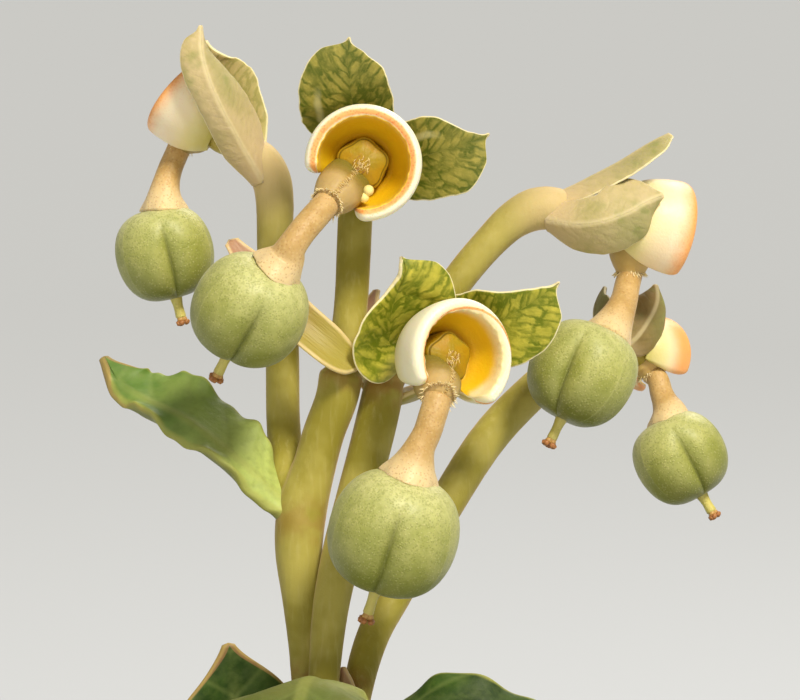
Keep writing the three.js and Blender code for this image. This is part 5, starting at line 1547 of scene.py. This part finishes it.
def capsule(bm, values):
    """Three lobes with a groove between each two, and a style with forked stigmas at the foot"""
    axis = unit(np.array(values["axis"], float))
    front = unit(np.array((0, -1, 0)) + axis * axis[1])
    spin = math.radians(values["spin"])
    normal = front * math.cos(spin) + np.cross(axis, front) * math.sin(spin)
    side = np.cross(axis, normal)
    centre = np.array(values["centre"], float)
    half = values["height"] / 2
    scale = values["radius"] / 3.2

    def place(u, v):
        polar = v * math.pi
        turn = u * TAU
        level = -half * np.cos(polar)
        width = values["radius"] * np.sin(polar) ** CAPSULE_SQUARE
        third = TAU / 3
        from_groove = turn - np.rint(turn / third) * third
        from_keel = third / 2 - np.abs(from_groove)
        depth = GROOVE_DEPTH * (GROOVE_TOP + (1 - GROOVE_TOP) * smooth_step(0.2, 0.62, v))
        valley = (1 - np.abs(from_groove) * 2 / third) ** GROOVE_SHARPNESS
        width = width * (1 - depth * valley + KEEL_RISE * hump(from_keel, 0.05))
        spot = centre + axis * level[:, None]
        spot = spot + (normal * np.cos(turn)[:, None] + side * np.sin(turn)[:, None]) * width[:, None]
        return spot, {"tone": 0.0, "run": v, "off": from_groove, "rim": from_keel}

    skin(bm, *CAPSULE_MESH, place)

    def below(distance, aside=0.0, turn=0.0):
        outward = normal * math.cos(turn) + side * math.sin(turn)
        return centre + axis * (half + distance * scale) + outward * aside * scale

    wide = STYLE_RADIUS
    style = [[*below(-0.6), wide * 1.5], [*below(0.1), wide * 1.1], [*below(0.6), wide * 0.9]]
    stem(bm, [*style, [*below(STYLE_LENGTH), wide]], *STYLE_MESH, tone=0.5)
    for index in range(3):
        turn = index / 3 * TAU + 0.6
        fork = below(STYLE_LENGTH + 0.2, 0.22, turn)
        stem(bm, [[*below(STYLE_LENGTH - 0.15), wide * 0.7], [*fork, wide * 0.6]], *STIGMA_MESH, tone=0.8)
        for hand in (-1, 1):
            tip = below(STYLE_LENGTH + 0.36, 0.36, turn + hand * 0.5)
            stigma = [[*fork, wide * 0.5], [*((fork + tip) / 2), wide * 0.55], [*tip, wide * 0.6]]
            stem(bm, stigma, *STIGMA_MESH, tone=1.0)


def make_heads():
    draw = random.Random(HAIR_SEED)
    looks = {number: bract_look(f"bracts {number}", number) for number in BRACT_COLOURS}
    fringe_finish, pedicel_finish, capsule_finish = fringe_look(), pedicel_look(), capsule_look()
    for number, values in enumerate(HEADS, 1):
        head = Head(values)
        name = f"head_{number}"
        *line, line_width, amber, pink_and_spout_light = GLAND_LINES[number]
        gland_finish = gland_look(name, line_width, amber, pink_and_spout_light)
        bm = blank()
        gland(bm, head, line)
        piece(f"{name}_gland_cup", bm, gland_finish, replaces=[f"{name}_gland"])
        bm = blank()
        spout = involucre(bm, head)
        tree = BVHTree.FromBMesh(bm)
        cup_finish = involucre_look(name, pink_and_spout_light)
        piece(f"{name}_involucre_cup", bm, cup_finish, replaces=[f"{name}_involucre"])
        bm = blank()
        fringe(bm, head, tree, spout, draw)
        piece(f"{name}_fringe", bm, fringe_finish)
        bm = blank()
        pedicel(bm, head)
        piece(f"{name}_pedicel_stalk", bm, pedicel_finish, replaces=[f"{name}_pedicel"])
        bm = blank()
        capsule(bm, values["capsule"])
        piece(f"{name}_capsule_fruit", bm, capsule_finish, replaces=[f"{name}_capsule"])
        for key, shape in values["bracts"].items():
            bm = blank()
            point = BRACT_POINTS[number]
            blade(bm, shape, BRACT_THICKNESS, *BRACT_MESH, BRACT_RIB, BRACT_VEINS, point, BRACT_RAGGED)
            piece(f"{name}_bract_{key}_blade", bm, looks[number], replaces=[f"{name}_bract_{key}"])


def make_fork_bracts():
    look = fork_bract_look()
    for name, shape in SMALL_BRACTS.items():
        bm = blank()
        blade(bm, shape, BRACT_THICKNESS, *SMALL_BRACT_MESH, BRACT_RIB, BRACT_VEINS)
        piece(f"{name}_blade", bm, look, replaces=[name])


# Camera, light and floor


def make_camera():
    down = math.radians(VIEW_DOWN)
    ahead = Vector((0, math.cos(down), -math.sin(down)))
    lens = bpy.data.cameras.new("camera")
    lens.sensor_width = SENSOR_WIDTH
    lens.lens = SENSOR_WIDTH * VIEW_DISTANCE / (PHOTO_WIDTH * VIEW_SCALE)
    lens.clip_start = NEAREST
    lens.clip_end = FURTHEST
    camera = placed("camera", lens)
    camera.location = (Vector(VIEW_FOCUS) - ahead * VIEW_DISTANCE) * MM
    camera.rotation_euler = ahead.to_track_quat("-Z", "Y").to_euler()
    scene.camera = camera


def area_light(name, place, size, power, color):
    light = bpy.data.lights.new(name, "AREA")
    light.shape = "DISK"
    light.size = size
    light.energy = power
    light.color = color
    lamp = placed(name, light)
    lamp.location = place
    lamp.rotation_euler = (Vector(LIT_PLACE) - Vector(place)).to_track_quat("-Z", "Y").to_euler()


def make_sun():
    sun = bpy.data.lights.new("sun", "SUN")
    sun.energy = SUN_POWER
    sun.angle = math.radians(SUN_SPREAD)
    sun.color = WARM_LIGHT
    lamp = placed("sun", sun)
    lamp.rotation_euler = Vector(SUN_FROM).to_track_quat("Z", "Y").to_euler()


def make_studio():
    make_sun()
    area_light("fill", FILL_PLACE, FILL_SIZE, FILL_POWER, WARM_LIGHT)
    area_light("back", BACK_PLACE, BACK_SIZE, BACK_POWER, BACK_LIGHT)
    world = bpy.data.worlds.new("studio")
    world.use_nodes = True
    sky = world.node_tree.nodes["Background"].inputs
    sky["Color"].default_value = SKY_LIGHT
    sky["Strength"].default_value = WORLD_POWER
    scene.world = world
    scene.view_settings.view_transform = "Standard"
    bm = bmesh.new()
    bmesh.ops.create_grid(bm, x_segments=1, y_segments=1, size=FLOOR_SIZE / 2)
    mesh = bpy.data.meshes.new("floor")
    bm.to_mesh(mesh)
    bm.free()
    floor = placed("floor", mesh)
    floor.data.materials.append(Look("floor").finish(srgb(*FLOOR_COLOUR), FLOOR_ROUGHNESS))


make_camera()
make_studio()
make_pot()
make_soil()
make_grains()
make_main_stem()
make_foliage()
make_stalks()
make_fork_bracts()
make_heads()
